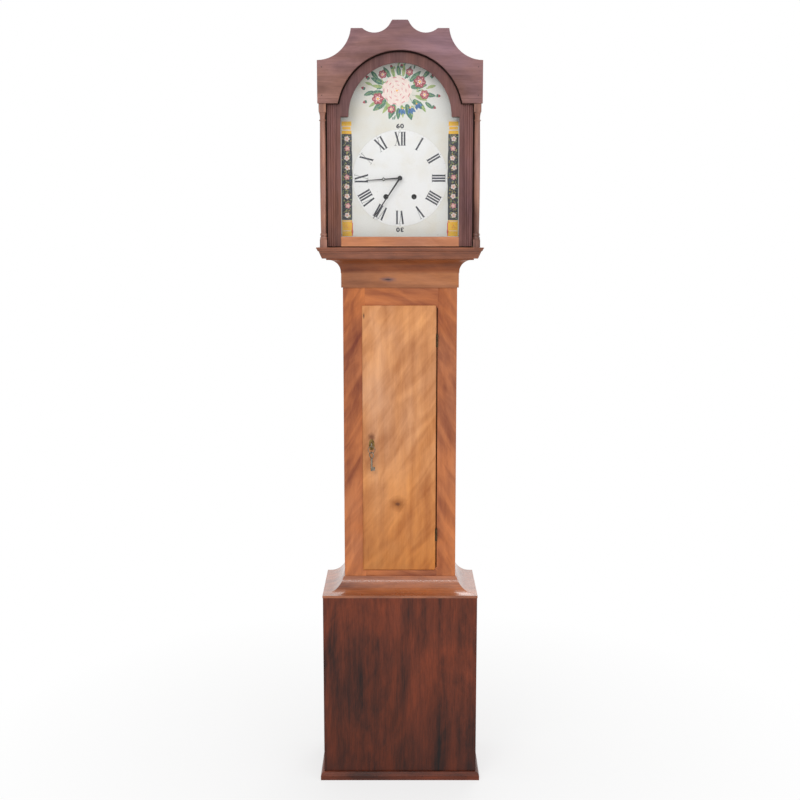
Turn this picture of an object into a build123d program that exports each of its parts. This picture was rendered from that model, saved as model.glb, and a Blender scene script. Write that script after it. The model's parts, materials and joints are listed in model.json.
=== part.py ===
# Longcase clock with a scalloped crest, a break-arch hood door, a plain trunk with a lipped
# door and a panelled box base, standing on its own underside. It holds an eight-day
# weight-driven movement that strikes the hours on a bell.
# Millimetres. +X is the clock's right as seen from the front, +Y is the back, +Z is up.
# The origin is on the floor, at the centre of the whole outline in plan.
from build123d import *
import math
import os

os.makedirs("parts", exist_ok=True)

# Overall case
trunk_half = 148.0         # half the width of the trunk
base_reach = 56.0          # how far the base stands out past the trunk, at the front and the sides
base_half = trunk_half + base_reach
base_depth = 235.0         # base front face to the back face
base_top = 507.0           # top edge of the base box
plinth_reach = 9.5         # how far the plinth strip stands out at the floor
plinth_height = 22.0
panel = 18.0               # base boards
floor_board = 14.0         # bottom board
trunk_front_board = 20.0
trunk_side_board = 16.0
back_thickness = 12.0
touch_gap = 0.3            # air between a moving piece and what it passes

back_y = (base_depth + plinth_reach) / 2
base_y = back_y - base_depth            # base front face
trunk_y = base_y + base_reach        # trunk front face
back_inner_y = back_y - back_thickness  # inside face of the back board
trunk_inner_y = trunk_y + trunk_front_board
cheek_inner = trunk_half - trunk_side_board

# Trunk
cheek_bottom = base_top - 107.0         # trunk sides reach down inside the base
frame_bottom = base_top - 27.0
shoulder_rise = 44.0                    # height of the hollow moulding on the base
shoulder_top = base_top + shoulder_rise
door_sill = shoulder_top + 23.0         # trunk doorway
door_opening = 696.0                    # height of the doorway
door_head = door_sill + door_opening
door_left = -trunk_half + 57.0
door_right = trunk_half - 50.0
frieze_bottom = door_head + 52.4
frieze_height = 37.6
frieze_top = frieze_bottom + frieze_height
frieze_board = 4.0
throat_reach = 40.0        # how far the throat moulding stands out
throat_radius = 31.0
throat_top = frieze_top + 37.5
hood_seat = throat_top + touch_gap      # underside of the hood

# Trunk door
door_lip = 8.0             # how far its lip laps over the frame
door_lip_thickness = 5.0
door_play = 1.0            # air between the door and its doorway
trunk_door_body = 16.0
hinge_radius = 2.7
hinge_pin = 1.2
hinge_length = 34.0
hinge_leaf = 1.2
hinge_x = door_right - hinge_leaf - touch_gap
hinge_heights = (door_sill + 74.0, door_head - 102.0)
lock_x = door_left + 16.4
lock_z = door_sill + 338.0
bolt_throw = 8.0

# The dial's outline, which sets the widths and levels of the hood round it
hood_floor = throat_top + 28.5          # top of the hood's base frame
dial_half = 152.5
dial_bottom = hood_floor + 22.0
dial_arch_radius = dial_half - 18.5
arch_centre = dial_bottom + 2 * dial_half - 1.0     # shared by crest, door, mask and dial
sight_half = dial_half - 3.5
sight_bottom = dial_bottom + 4.7
sight_top = arch_centre - 2.0           # level of the arch feet
sight_radius = dial_arch_radius - 5.0
door_half = sight_half + 33.0
door_step = door_half - 22.0            # where the reeded stile steps back to the flat
door_arch_radius = sight_radius + 25.0

# Hood
column_block = 18.0
column_x = door_half + 2.5 + column_block / 2
column_y = base_y + 11.0
hood_half = column_x + 2.5              # half width of the base frame, without its moulding
hood_y = trunk_y - 48.0                 # front face of the base frame
hood_moulding_reach = 15.6
cheek_play = 2.0                        # air between the trunk sides and the hood frame
side_board = 13.5
hood_side_outer = hood_half + 3.5
crest_bottom = arch_centre + 29.0
crest_half = hood_half + 9.3
crest_thickness = 12.0
crest_y = base_y - 2.0
crest_shoulder = crest_bottom + 103.6   # top of the crest's straight ends
crest_ear = crest_shoulder + 76.1       # top of the ears
case_height = crest_ear + 19.9          # floor to the top of the crest
crest_arch_radius = door_arch_radius + 3.5
roof_radius = 225.0
roof_thickness = 6.0
roof_spring = crest_bottom + 25.0       # where the bent roof meets the hood sides
mask_y = base_y + 31.0
mask_thickness = 9.0

# Hood door
door_face = base_y + 11.0
door_thickness = 18.0
door_flat_setback = 4.0
door_low = hood_floor + 2.5
door_shoulder = crest_bottom - 1.5
glass_thickness = 2.5
glass_lap = 6.0
rebate_face = base_y + 22.0
pivot_x = door_half - 0.5  # hinge line of the hood door
pivot_y = base_y + 5.0
pivot_pin = 1.5

# Dial and movement, seen from the front: heights are from the hand centre
hand_z = dial_bottom + dial_half - 0.1
dial_y = base_y + 58.0
dial_thickness = 8.0
winding_x = 36.0
winding_z = hand_z - 46.6
winding_hole = 6.0
plate_thickness = 3.0
front_plate_y = base_y + 84.0           # front face of the front plate
plate_space = 62.0                      # between the plates
train_y = front_plate_y + plate_thickness
back_plate_y = train_y + plate_space
plate_half = 78.0
plate_low = hand_z - 105.4
plate_high = hand_z + 84.0
seat_top = plate_low
seat_thickness = 18.0
running = 0.05             # radial clearance of a shaft in its hole
pivot_radius = 1.0
arbor_radius = 1.6
end_shake = 0.4            # end play of an arbor between the plates

# Pendulum and weights
pallet_z = hand_z + 62.0
pendulum_y = base_y + 168.0
pendulum_length = 994.0
bob_radius = 50.0
bob_thickness = 26.0
rod_radius = 2.0
line_radius = 0.8
drum_radius = 22.0
sheave_radius = 21.0       # to the middle of the line
weight_radius = 29.0
weight_height = 230.0
weight_bottom = 120.0


def board(x0, x1, y0, y1, z0, z1):
    """A rectangular board between two opposite corners."""
    return Pos((x0 + x1) / 2, (y0 + y1) / 2, (z0 + z1) / 2) * Box(x1 - x0, y1 - y0, z1 - z0)


def rod(radius, y0, y1, x, z):
    """A round bar that runs front to back."""
    return Pos(x, (y0 + y1) / 2, z) * Rot(90, 0, 0) * Cylinder(radius, y1 - y0)


def post(radius, z0, z1, x, y):
    """A round bar that stands upright."""
    return Pos(x, y, (z0 + z1) / 2) * Cylinder(radius, z1 - z0)


def sheet(outline, y0, y1):
    """A board cut to a front-view outline, from y0 back to y1."""
    return extrude(Plane.XZ.offset(-y1) * outline, y1 - y0)


def mirrored(shape):
    """The same piece on the other side of the clock."""
    return mirror(shape, about=Plane.YZ)


def outline(*pieces):
    """A face bounded by lines and arcs given in order."""
    return make_face([edge for piece in pieces for edge in piece.edges()])


def save(name, *solids):
    """Write one node; each argument is a piece that stays a separate solid."""
    found = [s for piece in solids for s in piece.solids()]
    export_step(Compound(children=found), f"parts/{name}.step")


def mitred(profile, half, face_y, reach, low, high):
    """A moulding round the front and both sides of a carcase, as three runs mitred at the corners.
    The profile is a face in (distance out from the carcase, height)."""
    corner = (half + reach, face_y - reach)
    front_plan = make_face(Polyline(
        (-half, face_y), (-corner[0], corner[1]), corner, (half, face_y), close=True))
    side_plan = make_face(Polyline((half, face_y), corner, (corner[0], back_y), (half, back_y), close=True))
    front_end = Plane((corner[0], face_y, 0), x_dir=(0, -1, 0), z_dir=(-1, 0, 0))
    front_bar = extrude(front_end * profile, 2 * corner[0])
    side_end = Plane((half, back_y, 0), x_dir=(1, 0, 0), z_dir=(0, -1, 0))
    side_bar = extrude(side_end * profile, back_y - corner[1])
    front = front_bar & extrude(Pos(0, 0, low) * front_plan, high - low)
    side = side_bar & extrude(Pos(0, 0, low) * side_plan, high - low)
    return [front, side, mirrored(side)]


# Base box
front_panel = board(-base_half, base_half, base_y, base_y + panel, floor_board, base_top)
save("base_front_panel", front_panel)
base_side = board(base_half - panel, base_half, base_y + panel, back_y, floor_board, base_top)
bottom_board = board(-base_half, base_half, base_y, back_y, 0, floor_board)
save("base_carcase", base_side, mirrored(base_side), bottom_board)

strip_chamfer = 5.0
strip_profile = make_face(Polyline(
    (0, 0), (plinth_reach, 0), (plinth_reach, plinth_height - 2 * strip_chamfer),
    (plinth_reach - strip_chamfer, plinth_height), (0, plinth_height), close=True))
save("base_plinth_strip", *mitred(strip_profile, base_half, base_y, plinth_reach, 0, plinth_height))

# Shoulder moulding: a small square lip, then a deep hollow up to the trunk
shoulder_reach = base_half - trunk_half + 1.0
lip_height = 6.5
hollow_radius = 45.5
hollow_out = shoulder_reach - 9.0
lip_z = base_top + lip_height
hollow_rise = shoulder_top - lip_z
hollow_in = hollow_out - math.sqrt(hollow_radius**2 - (hollow_radius - hollow_rise) ** 2)
shoulder_profile = outline(
    Polyline((hollow_in, shoulder_top), (0, shoulder_top), (0, base_top), (shoulder_reach, base_top),
             (shoulder_reach, lip_z), (hollow_out, lip_z)),
    RadiusArc((hollow_out, lip_z), (hollow_in, shoulder_top), hollow_radius))
shoulder_runs = mitred(shoulder_profile, trunk_half, trunk_y, shoulder_reach, base_top, shoulder_top)
save("shoulder_moulding", *shoulder_runs)

# Trunk: two sides with the strips that hold the hood down, a front frame round the doorway,
# a frieze and the throat moulding
cheek_top = seat_top - seat_thickness
cheek = board(cheek_inner, trunk_half, trunk_inner_y, back_inner_y, cheek_bottom, cheek_top)
runner_width = 10.0
runner = board(trunk_half, trunk_half + runner_width, trunk_inner_y, back_inner_y,
               hood_floor + touch_gap, hood_floor + runner_width)
save("trunk_sides", cheek, mirrored(cheek), runner, mirrored(runner))
save("trunk_stiles",
     board(-trunk_half, door_left, trunk_y, trunk_inner_y, frame_bottom, throat_top),
     board(door_right, trunk_half, trunk_y, trunk_inner_y, frame_bottom, throat_top))
save("trunk_rails",
     board(door_left, door_right, trunk_y, trunk_inner_y, door_head, throat_top),
     board(door_left, door_right, trunk_y, trunk_inner_y, frame_bottom, door_sill))

frieze_profile = make_face(Polyline(
    (0, frieze_bottom), (frieze_board, frieze_bottom),
    (frieze_board, frieze_top), (0, frieze_top), close=True))
frieze = mitred(frieze_profile, trunk_half, trunk_y, frieze_board, frieze_bottom, frieze_top)

throat_fillet = 3.0
cove_low = (frieze_board + 1.0, frieze_top + throat_fillet)
cove_high = (cove_low[0] + throat_radius, cove_low[1] + throat_radius)
throat_profile = outline(
    Polyline(cove_high, (throat_reach, cove_high[1]), (throat_reach, throat_top), (0, throat_top),
             (0, frieze_top), (cove_low[0], frieze_top), cove_low),
    RadiusArc(cove_low, cove_high, throat_radius))
throat = mitred(throat_profile, trunk_half, trunk_y, throat_reach, frieze_top, throat_top)
save("throat_moulding", *frieze, *throat)

# Back board: as wide as the base, then the trunk, then the inside of the hood
roof_centre_z = roof_spring - math.sqrt(roof_radius**2 - hood_side_outer**2)
back_half = hood_side_outer - side_board - 1.0
roof_play = 3.0
back_step = hood_floor + 2.0
arched = board(-back_half, back_half, back_inner_y, back_y, roof_spring, case_height)
arched &= rod(roof_radius - roof_thickness - roof_play, back_inner_y, back_y, 0, roof_centre_z)
backboard = board(-(base_half - panel), base_half - panel, back_inner_y, back_y, floor_board, base_top)
backboard += board(-trunk_half, trunk_half, back_inner_y, back_y, base_top, back_step)
backboard += board(-back_half, back_half, back_inner_y, back_y, back_step, roof_spring)
backboard += arched
save("backboard", backboard)

# Seat board for the movement, with slots for the lines
seat_back_y = back_plate_y + plate_thickness + 3.0
seat = board(-trunk_half, trunk_half, trunk_inner_y, seat_back_y, cheek_top, seat_top)
slot_y0 = train_y + 6.0
slot_y1 = back_plate_y - 6.0
line_play = 4.0
drum_line = drum_radius + line_radius
for drum_x in (-winding_x, winding_x):
    wound_x = drum_x - drum_line
    seat -= board(wound_x - line_play, wound_x + line_play, slot_y0, slot_y1, cheek_top, seat_top)
save("seatboard", seat)

# Hood: an open-backed frame that slides forward off the trunk, with its sides, mask and roof
frame_inner = trunk_half + cheek_play
frame_back_of_front = trunk_y + trunk_front_board / 2
pivot_socket = 9.0
hood_frame = board(-hood_half, hood_half, hood_y, back_y, hood_seat, hood_floor)
hood_frame -= board(-frame_inner, frame_inner, frame_back_of_front, back_y, hood_seat, hood_floor)
save("hood_base_frame", hood_frame)

# Hood base moulding, from its narrow foot out to the top fillet
reach = hood_moulding_reach
fillet_z = hood_floor - 3.6
ovolo_low = (reach - 7.1, hood_floor - 11.0)
ovolo_high = (reach - 1.6, fillet_z)
hood_profile = outline(
    Polyline((0, hood_floor), (0, hood_seat), (2.0, hood_seat), (reach - 8.6, hood_floor - 16.5),
             (reach - 8.6, hood_floor - 15.0), (ovolo_low[0], hood_floor - 15.0), ovolo_low),
    RadiusArc(ovolo_low, ovolo_high, -8.0),
    Polyline(ovolo_high, (reach, fillet_z), (reach, hood_floor), (0, hood_floor)))
hood_runs = mitred(hood_profile, hood_half, hood_y, reach, hood_seat, hood_floor)
hood_runs[0] -= post(pivot_pin + running, hood_floor - pivot_socket, hood_floor, pivot_x, pivot_y)
save("hood_base_moulding", *hood_runs)

side_inner = hood_side_outer - side_board
mask_back = mask_y + mask_thickness
hood_side = board(side_inner, hood_side_outer, mask_back, back_y, hood_floor, roof_spring)
save("hood_sides", hood_side, mirrored(hood_side))

roof_ring = rod(roof_radius, mask_back, back_y, 0, roof_centre_z)
roof_ring -= rod(roof_radius - roof_thickness, mask_back, back_y, 0, roof_centre_z)
save("hood_roof", roof_ring & board(-base_depth, base_depth, mask_back, back_y, roof_spring, case_height))

# The mask frames the dial and follows the roof above
mask_play = 1.5
mask_half = sight_half + mask_play
mask_arch = sight_radius + 2.5
mask = board(-hood_side_outer, hood_side_outer, mask_y, mask_back, hood_floor, roof_spring)
mask += rod(roof_radius, mask_y, mask_back, 0, roof_centre_z) & board(
    -base_depth, base_depth, mask_y, mask_back, roof_spring, case_height)
mask -= board(-mask_half, mask_half, mask_y, mask_back, dial_bottom + mask_play, sight_top)
mask -= rod(mask_arch, mask_y, mask_back, 0, arch_centre) & board(
    -mask_arch, mask_arch, mask_y, mask_back, sight_top, case_height)
save("hood_mask", mask)

# Turned corner columns on square blocks
def column(x):
    half = column_block / 2
    low_block = board(x - half, x + half, column_y - half, column_y + half, hood_floor, hood_floor + 20)
    top_block = board(x - half, x + half, column_y - half, column_y + half, crest_bottom - 21, crest_bottom)
    base_z = hood_floor + 20
    shaft_low = hood_floor + 37
    shaft_high = crest_bottom - 43
    neck_z = shaft_high + 4
    turned = outline(
        Line((0, base_z), (8.6, base_z)),
        ThreePointArc((8.6, base_z), (9.0, base_z + 3), (8.6, base_z + 6)),
        Polyline((8.6, base_z + 6), (7.2, base_z + 7), (7.2, base_z + 9), (8.0, base_z + 9)),
        ThreePointArc((8.0, base_z + 9), (8.6, base_z + 11.5), (8.0, base_z + 14)),
        Polyline((8.0, base_z + 14), (6.7, shaft_low)),
        ThreePointArc((6.7, shaft_low), (7.65, (shaft_low + shaft_high) / 2), (6.65, shaft_high)),
        ThreePointArc((6.65, shaft_high), (8.6, shaft_high + 2), (6.65, neck_z)),
        ThreePointArc((6.65, neck_z), (7.0, neck_z + 10), (8.8, crest_bottom - 21)),
        Polyline((8.8, crest_bottom - 21), (0, crest_bottom - 21), (0, base_z)))
    spindle = Pos(x, column_y, 0) * revolve(Plane.XZ * turned, Axis.Z)
    return low_block + spindle + top_block


save("hood_columns", column(-column_x), column(column_x))

# Crest board: scooped ends, flat ears, shallow scallops up to a small flat tab, arched cut-out
ear_out = crest_half - 84.0
ear_in = ear_out - 28.3
scallop_low = (ear_in - 31.5, crest_ear - 10.7)
tab_foot = (21.6, case_height - 3.3)
tab_half = 18.6
scoop_centre = (crest_half - 2.3, crest_ear + 2.3)
scoop_radius = scoop_centre[1] - crest_shoulder
scoop_mid = (scoop_centre[0] - scoop_radius * math.cos(math.pi / 4),
             scoop_centre[1] - scoop_radius * math.sin(math.pi / 4))
right_edge = [
    Line((0, crest_bottom), (crest_half, crest_bottom)),
    Line((crest_half, crest_bottom), (crest_half, crest_shoulder)),
    ThreePointArc((crest_half, crest_shoulder), scoop_mid, (ear_out, crest_ear)),
    Line((ear_out, crest_ear), (ear_in, crest_ear)),
    ThreePointArc((ear_in, crest_ear), scallop_low, tab_foot),
    Polyline(tab_foot, (tab_half, case_height), (0, case_height), (0, crest_bottom))]
half_crest = sheet(outline(*right_edge), crest_y, crest_y + crest_thickness)
crest = half_crest + mirrored(half_crest)
crest -= rod(crest_arch_radius, crest_y, crest_y + crest_thickness, 0, arch_centre)
score_z = crest_bottom + 10.4
score = 1.2
score_cut = board(-crest_half, crest_half, crest_y, crest_y + score,
                  score_z - score / 2, score_z + score / 2)
crest -= score_cut
crest -= post(pivot_pin + running, crest_bottom, crest_bottom + pivot_socket, pivot_x, pivot_y)
crest_back = crest_y + crest_thickness
cleat = board(side_inner - 20, side_inner, crest_back, mask_y, crest_bottom + 12, roof_spring - 2)
save("crest_board", crest, cleat, mirrored(cleat))

# Hood door: reeded stiles, bottom rail, arched head, glass in a rebate, pivot straps
flat_face = door_face + door_flat_setback
door_back = door_face + door_thickness
lap_half = sight_half + glass_lap
lap_low = sight_bottom - glass_lap
lap_arch = sight_radius + glass_lap
lap_top = sight_top + glass_lap


def sight_panel(y0, y1, grow=0.0):
    """The glazed opening with its lap, as a solid."""
    panel_body = board(-lap_half - grow, lap_half + grow, y0, y1, lap_low - grow, lap_top + grow)
    arch_body = rod(lap_arch + grow, y0, y1, 0, arch_centre)
    return panel_body + (arch_body & board(-lap_half, lap_half, y0, y1, sight_top, case_height))


glass_play = 0.2
rebate = sight_panel(rebate_face, door_back, glass_play)
reed_count = 3
reed_margin = 2.0
reed_pitch = (door_half - door_step - 2 * reed_margin) / reed_count
stile_plan = [Line((sight_half, door_back), (sight_half, flat_face)),
              Line((sight_half, flat_face), (door_step, flat_face)),
              Line((door_step, flat_face), (door_step, door_face)),
              Line((door_step, door_face), (door_step + reed_margin, door_face))]
reed_depth = 1.6
for reed in range(reed_count):
    x0 = door_step + reed_margin + reed * reed_pitch
    x1 = x0 + reed_pitch
    stile_plan.append(Line((x0, door_face), (x0, door_face + reed_depth)))
    stile_plan.append(ThreePointArc((x0, door_face + reed_depth), ((x0 + x1) / 2, door_face),
                                    (x1, door_face + reed_depth)))
    stile_plan.append(Line((x1, door_face + reed_depth), (x1, door_face)))
stile_plan.append(Polyline((door_half - reed_margin, door_face), (door_half, door_face),
                           (door_half, door_back), (sight_half, door_back)))
stile_right = extrude(Pos(0, 0, door_low) * outline(*stile_plan), door_shoulder - door_low)
stile_left = mirrored(stile_right)
strap_thickness = 1.2
strap_eye = 2.4


def strap(z):
    """A flat strap let into the end of the right stile, reaching forward to the hinge line."""
    plate = board(sight_half + 8, door_half, door_face + 1, door_back - 3, z, z + strap_thickness)
    arm = board(pivot_x - strap_eye, door_half, pivot_y, door_face + 1, z, z + strap_thickness)
    return plate + arm + post(strap_eye, z, z + strap_thickness, pivot_x, pivot_y)


low_strap = strap(door_low)
high_strap = strap(door_shoulder - strap_thickness)
stile_right -= low_strap
stile_right -= high_strap
low_strap += post(strap_eye, hood_floor + touch_gap, door_low, pivot_x, pivot_y)
low_strap += post(pivot_pin, hood_floor - pivot_socket + 1, door_low, pivot_x, pivot_y)
high_strap += post(pivot_pin, door_shoulder, crest_bottom + pivot_socket - 1, pivot_x, pivot_y)
save("hood_door_stiles", stile_left - rebate, stile_right - rebate)
save("hood_door_straps", low_strap, high_strap)
bottom_rail = board(-sight_half, sight_half, flat_face, door_back, door_low, sight_bottom)
save("hood_door_bottom_rail", bottom_rail - rebate)
head_ring = rod(door_arch_radius, flat_face, door_back, 0, arch_centre)
head_ring -= rod(sight_radius, flat_face, door_back, 0, arch_centre)
head_room = board(-sight_half, sight_half, flat_face, door_back, sight_top, door_shoulder)
head_room += board(-door_half, door_half, flat_face, door_back, door_shoulder, case_height)
save("hood_door_arch", (head_ring & head_room) - rebate)
save("hood_door_glass", sight_panel(rebate_face, rebate_face + glass_thickness))

# Trunk door: a board with a rounded lip on three sides, hung on two butt hinges
leaf_gap = touch_gap
door_edge = hinge_x - leaf_gap - hinge_leaf
hinge_y = trunk_y - hinge_radius - 2 * touch_gap
lip_front = trunk_y - door_lip_thickness
door_body = board(door_left + door_play, door_edge, trunk_y - touch_gap, trunk_y + trunk_door_body,
                  door_sill + door_play, door_head - door_play)
lip_edge = hinge_x - hinge_radius - 2 * touch_gap
lip_board = board(door_left - door_lip, lip_edge, lip_front, trunk_y - touch_gap,
                  door_sill - door_lip + 1.5, door_head + door_lip - 1.5)
lip_edges = [e for e in lip_board.edges()
             if abs(e.center().Y - lip_front) < 0.01 and e.center().X < lip_edge - 1]
lip_board = fillet(lip_edges, door_lip_thickness * 0.8)
keyway = 2.5
key_passage = rod(keyway + 1, lip_front, trunk_y + trunk_door_body, lock_x, lock_z)
trunk_door_wood = door_body + lip_board - key_passage


def hinge_parts(z):
    """Two leaves of a butt hinge: the frame's, with two knuckles and the pin, and the door's."""
    third = (hinge_length - 2 * touch_gap) / 3
    frame_leaf = board(hinge_x + leaf_gap, door_right, hinge_y, trunk_y + 14, z, z + hinge_length)
    door_leaf = board(door_edge, hinge_x - leaf_gap, hinge_y, trunk_y + 14, z, z + hinge_length)
    low_knuckle = post(hinge_radius, z, z + third, hinge_x, hinge_y)
    high_knuckle = post(hinge_radius, z + hinge_length - third, z + hinge_length, hinge_x, hinge_y)
    mid_low = z + third + touch_gap
    mid_high = z + hinge_length - third - touch_gap
    gap_low = post(hinge_radius + touch_gap, mid_low - touch_gap, mid_high + touch_gap, hinge_x, hinge_y)
    frame_part = frame_leaf - gap_low + low_knuckle + high_knuckle
    frame_part += post(hinge_pin, z, z + hinge_length, hinge_x, hinge_y)
    for low, high in ((z, mid_low), (mid_high, z + hinge_length)):
        door_leaf -= post(hinge_radius + touch_gap, low, high, hinge_x, hinge_y)
    door_part = door_leaf + post(hinge_radius, mid_low, mid_high, hinge_x, hinge_y)
    door_part -= post(hinge_pin + running, z, z + hinge_length, hinge_x, hinge_y)
    return frame_part, door_part


pairs = [hinge_parts(z) for z in hinge_heights]
save("trunk_hinge_frame_leaves", *[pair[0] for pair in pairs])
save("trunk_hinge_door_leaves", *[pair[1] for pair in pairs])

# Lock on the inside of the trunk door: case, sliding bolt, key, and a second key on a ring
lock_y0 = trunk_y + trunk_door_body
lock_depth = 11.0
bolt_y0 = trunk_inner_y + 1.0
bolt_y1 = bolt_y0 + 3.5
bolt_z0 = lock_z + 6.5
bolt_z1 = bolt_z0 + 12.0
bolt_x0 = door_left + door_play
bolt_length = 22.0
lock_case = board(bolt_x0, lock_x + 16, lock_y0, lock_y0 + lock_depth, lock_z - 24, lock_z + 28)
lock_case -= board(bolt_x0, bolt_x0 + bolt_length + touch_gap, bolt_y0 - touch_gap, bolt_y1 + touch_gap,
                   bolt_z0 - touch_gap, bolt_z1 + touch_gap)
lock_case -= rod(keyway, lock_y0, lock_y0 + lock_depth - 2, lock_x, lock_z)
bit_length = 5.5
lock_case -= rod(bit_length + touch_gap, bolt_y0 - touch_gap, bolt_y1 + touch_gap, lock_x, lock_z)
save("trunk_door", trunk_door_wood)
save("lock_case", lock_case)
save("lock_bolt", board(bolt_x0, bolt_x0 + bolt_length, bolt_y0, bolt_y1, bolt_z0, bolt_z1))

plate_front = lip_front - 1.0
plate_face = Plane.XZ.offset(-lip_front) * (Pos(lock_x, lock_z - 2) * Ellipse(7.5, 15.0))
escutcheon = extrude(plate_face, 1.0) - rod(keyway, plate_front, lip_front, lock_x, lock_z)
escutcheon -= board(lock_x - 1.2, lock_x + 1.2, plate_front, lip_front, lock_z - 9, lock_z)
save("escutcheon", escutcheon)

bow_radius = 6.5
bow_wire = 1.3
stem_radius = keyway - touch_gap
bow_y = plate_front - 8.0 - bow_radius
stem_end = lock_y0 + lock_depth - 2.5
key = rod(stem_radius, bow_y + bow_radius, stem_end, lock_x, lock_z)
key += Pos(lock_x, bow_y, lock_z) * Rot(0, 90, 0) * Torus(bow_radius, bow_wire)
key += board(lock_x - 1, lock_x + 1, bolt_y0, bolt_y1, lock_z - bit_length, lock_z)
save("key", key)

ring_radius = 9.0
ring_wire = 0.8
ring_pivot_z = lock_z - bow_radius
ring_z = ring_pivot_z + bow_wire + ring_wire + touch_gap - ring_radius
second_bow = 8.0
second_wire = 1.5
second_z = ring_z - ring_radius + ring_wire + second_wire + touch_gap - second_bow
shank_length = 34.0
key_ring = Pos(lock_x, bow_y, ring_z) * Rot(90, 0, 0) * Torus(ring_radius, ring_wire)
spare_key = Pos(lock_x, bow_y, second_z) * Rot(0, 0, 40) * Rot(0, 90, 0) * Torus(second_bow, second_wire)
spare_key += post(2.6, second_z - second_bow - shank_length, second_z - second_bow, lock_x, bow_y)
spare_key += board(lock_x, lock_x + 9, bow_y - 1.2, bow_y + 1.2,
                   second_z - second_bow - shank_length + 1, second_z - second_bow - shank_length + 10)
save("key_ring", key_ring, spare_key)

# Dial with its arch, and the feet that hold it to the movement
dial = board(-dial_half, dial_half, dial_y, dial_y + dial_thickness, dial_bottom, arch_centre)
dial += rod(dial_arch_radius, dial_y, dial_y + dial_thickness, 0, arch_centre)
centre_hole = 4.5
dial -= rod(centre_hole, dial_y, dial_y + dial_thickness, 0, hand_z)
for x in (-winding_x, winding_x):
    dial -= rod(winding_hole, dial_y, dial_y + dial_thickness, x, winding_z)
save("dial", dial)
pillar_x = plate_half - 8
pillar_heights = (plate_low + 10, plate_high - 10)
corners = [(side * pillar_x, z) for side in (-1, 1) for z in pillar_heights]
dial_back = dial_y + dial_thickness
dial_feet = [rod(3.0, dial_back, front_plate_y, x, z) for x, z in corners]
pillars = [rod(4.0, train_y, back_plate_y, x, z) for x, z in corners]


# Toothed wheels
def place(x, z, distance, degrees):
    """The point at a distance and angle from another, in the front view."""
    angle = math.radians(degrees)
    return (x + distance * math.cos(angle), z + distance * math.sin(angle))


def towards(start, end):
    """The angle from one arbor to another, in degrees."""
    return math.degrees(math.atan2(end[1] - start[1], end[0] - start[0]))


def toothed(teeth, module, centre, facing, y0, y1, pinion=False):
    """A toothed disc. A wheel has a tooth, and a pinion a space, on the line it faces."""
    pitch = module * teeth / 2
    rise, fall, share = (0.6, 1.3, 0.34) if pinion else (0.75, 1.05, 0.40)
    step = 360 / teeth
    start = facing + (step / 2 if pinion else 0)
    points = []
    for tooth in range(teeth):
        middle = start + tooth * step
        for radius, offset in ((pitch - fall * module, -share * 0.62),
                               (pitch + rise * module, -share * 0.28),
                               (pitch + rise * module, share * 0.28), (pitch - fall * module, share * 0.62)):
            points.append(place(*centre, radius, middle + offset * step))
    return sheet(make_face(Polyline(*points, close=True)), y0, y1)


def arbor(centre, radius=arbor_radius, front=train_y + end_shake, back=back_plate_y - end_shake):
    """A round arbor with a pivot at each end."""
    pivots = rod(pivot_radius, train_y - plate_thickness, back_plate_y + plate_thickness, *centre)
    return rod(radius, front, back, *centre) + pivots


# Arbor positions in the front view
hand_centre = (0.0, hand_z)
great_teeth, centre_pinion, great_module = 96, 8, 0.7208
strike_teeth, pin_pinion_teeth = 78, 8
centre_teeth, third_pinion, centre_module = 60, 8, 0.88
third_teeth, escape_pinion, third_module = 56, 7, 0.82
escape_teeth, escape_radius = 30, 17.0
pin_teeth, fly_pinion, pin_module = 60, 6, 0.72
cannon_teeth, hour_teeth, minute_leaves = 36, 72, 6
going_drum = (winding_x, winding_z)
strike_drum = (-winding_x, winding_z)
escape_centre = (0.0, hand_z + 34.0)
pallet_centre = (0.0, pallet_z)
minute_centre = place(*going_drum, great_module * (great_teeth + centre_pinion) / 2, 132.6)
motion_distance = math.dist(minute_centre, hand_centre)
cannon_module = motion_distance / cannon_teeth
hour_module = 2 * motion_distance / (hour_teeth + minute_leaves)
third_reach = centre_module * (centre_teeth + third_pinion) / 2
escape_reach = third_module * (third_teeth + escape_pinion) / 2
span = math.dist(minute_centre, escape_centre)
along = (span**2 + third_reach**2 - escape_reach**2) / (2 * span)
bend = math.degrees(math.acos(along / third_reach))
third_centre = place(*minute_centre, third_reach, towards(minute_centre, escape_centre) - bend)
pin_centre = place(*strike_drum, great_module * (strike_teeth + pin_pinion_teeth) / 2, 105.0)
fly_centre = place(*pin_centre, pin_module * (pin_teeth + fly_pinion) / 2, 80.0)
hammer_centre = (-52.0, hand_z + 40.0)

# Plates with their pivot holes
winding_radius = 3.0
minute_radius = 1.5
back_pivot = 2.0
front_plate = board(-plate_half, plate_half, front_plate_y, train_y, plate_low, plate_high)
back_end_y = back_plate_y + plate_thickness
back_plate = board(-plate_half, plate_half, back_plate_y, back_end_y, plate_low, plate_high)
for drum in (going_drum, strike_drum):
    front_plate -= rod(winding_radius + running, front_plate_y, train_y, *drum)
    back_plate -= rod(back_pivot + running, back_plate_y, back_end_y, *drum)
front_plate -= rod(minute_radius + running, front_plate_y, train_y, *minute_centre)
back_plate -= rod(pivot_radius + running, back_plate_y, back_end_y, *minute_centre)
for centre in (third_centre, escape_centre, pin_centre, fly_centre, hammer_centre, pallet_centre):
    front_plate -= rod(pivot_radius + running, front_plate_y, train_y, *centre)
    hole = 4.0 if centre == pallet_centre else pivot_radius + running
    back_plate -= rod(hole, back_plate_y, back_end_y, *centre)
post_radius = 1.2
minute_hand_y = dial_y - 11.5
hour_hand_y = dial_y - 7.5
hand_post = rod(post_radius, minute_hand_y - 1.5, train_y, *hand_centre)
save("movement_plates", front_plate + hand_post, back_plate, *pillars, *dial_feet)

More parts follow.
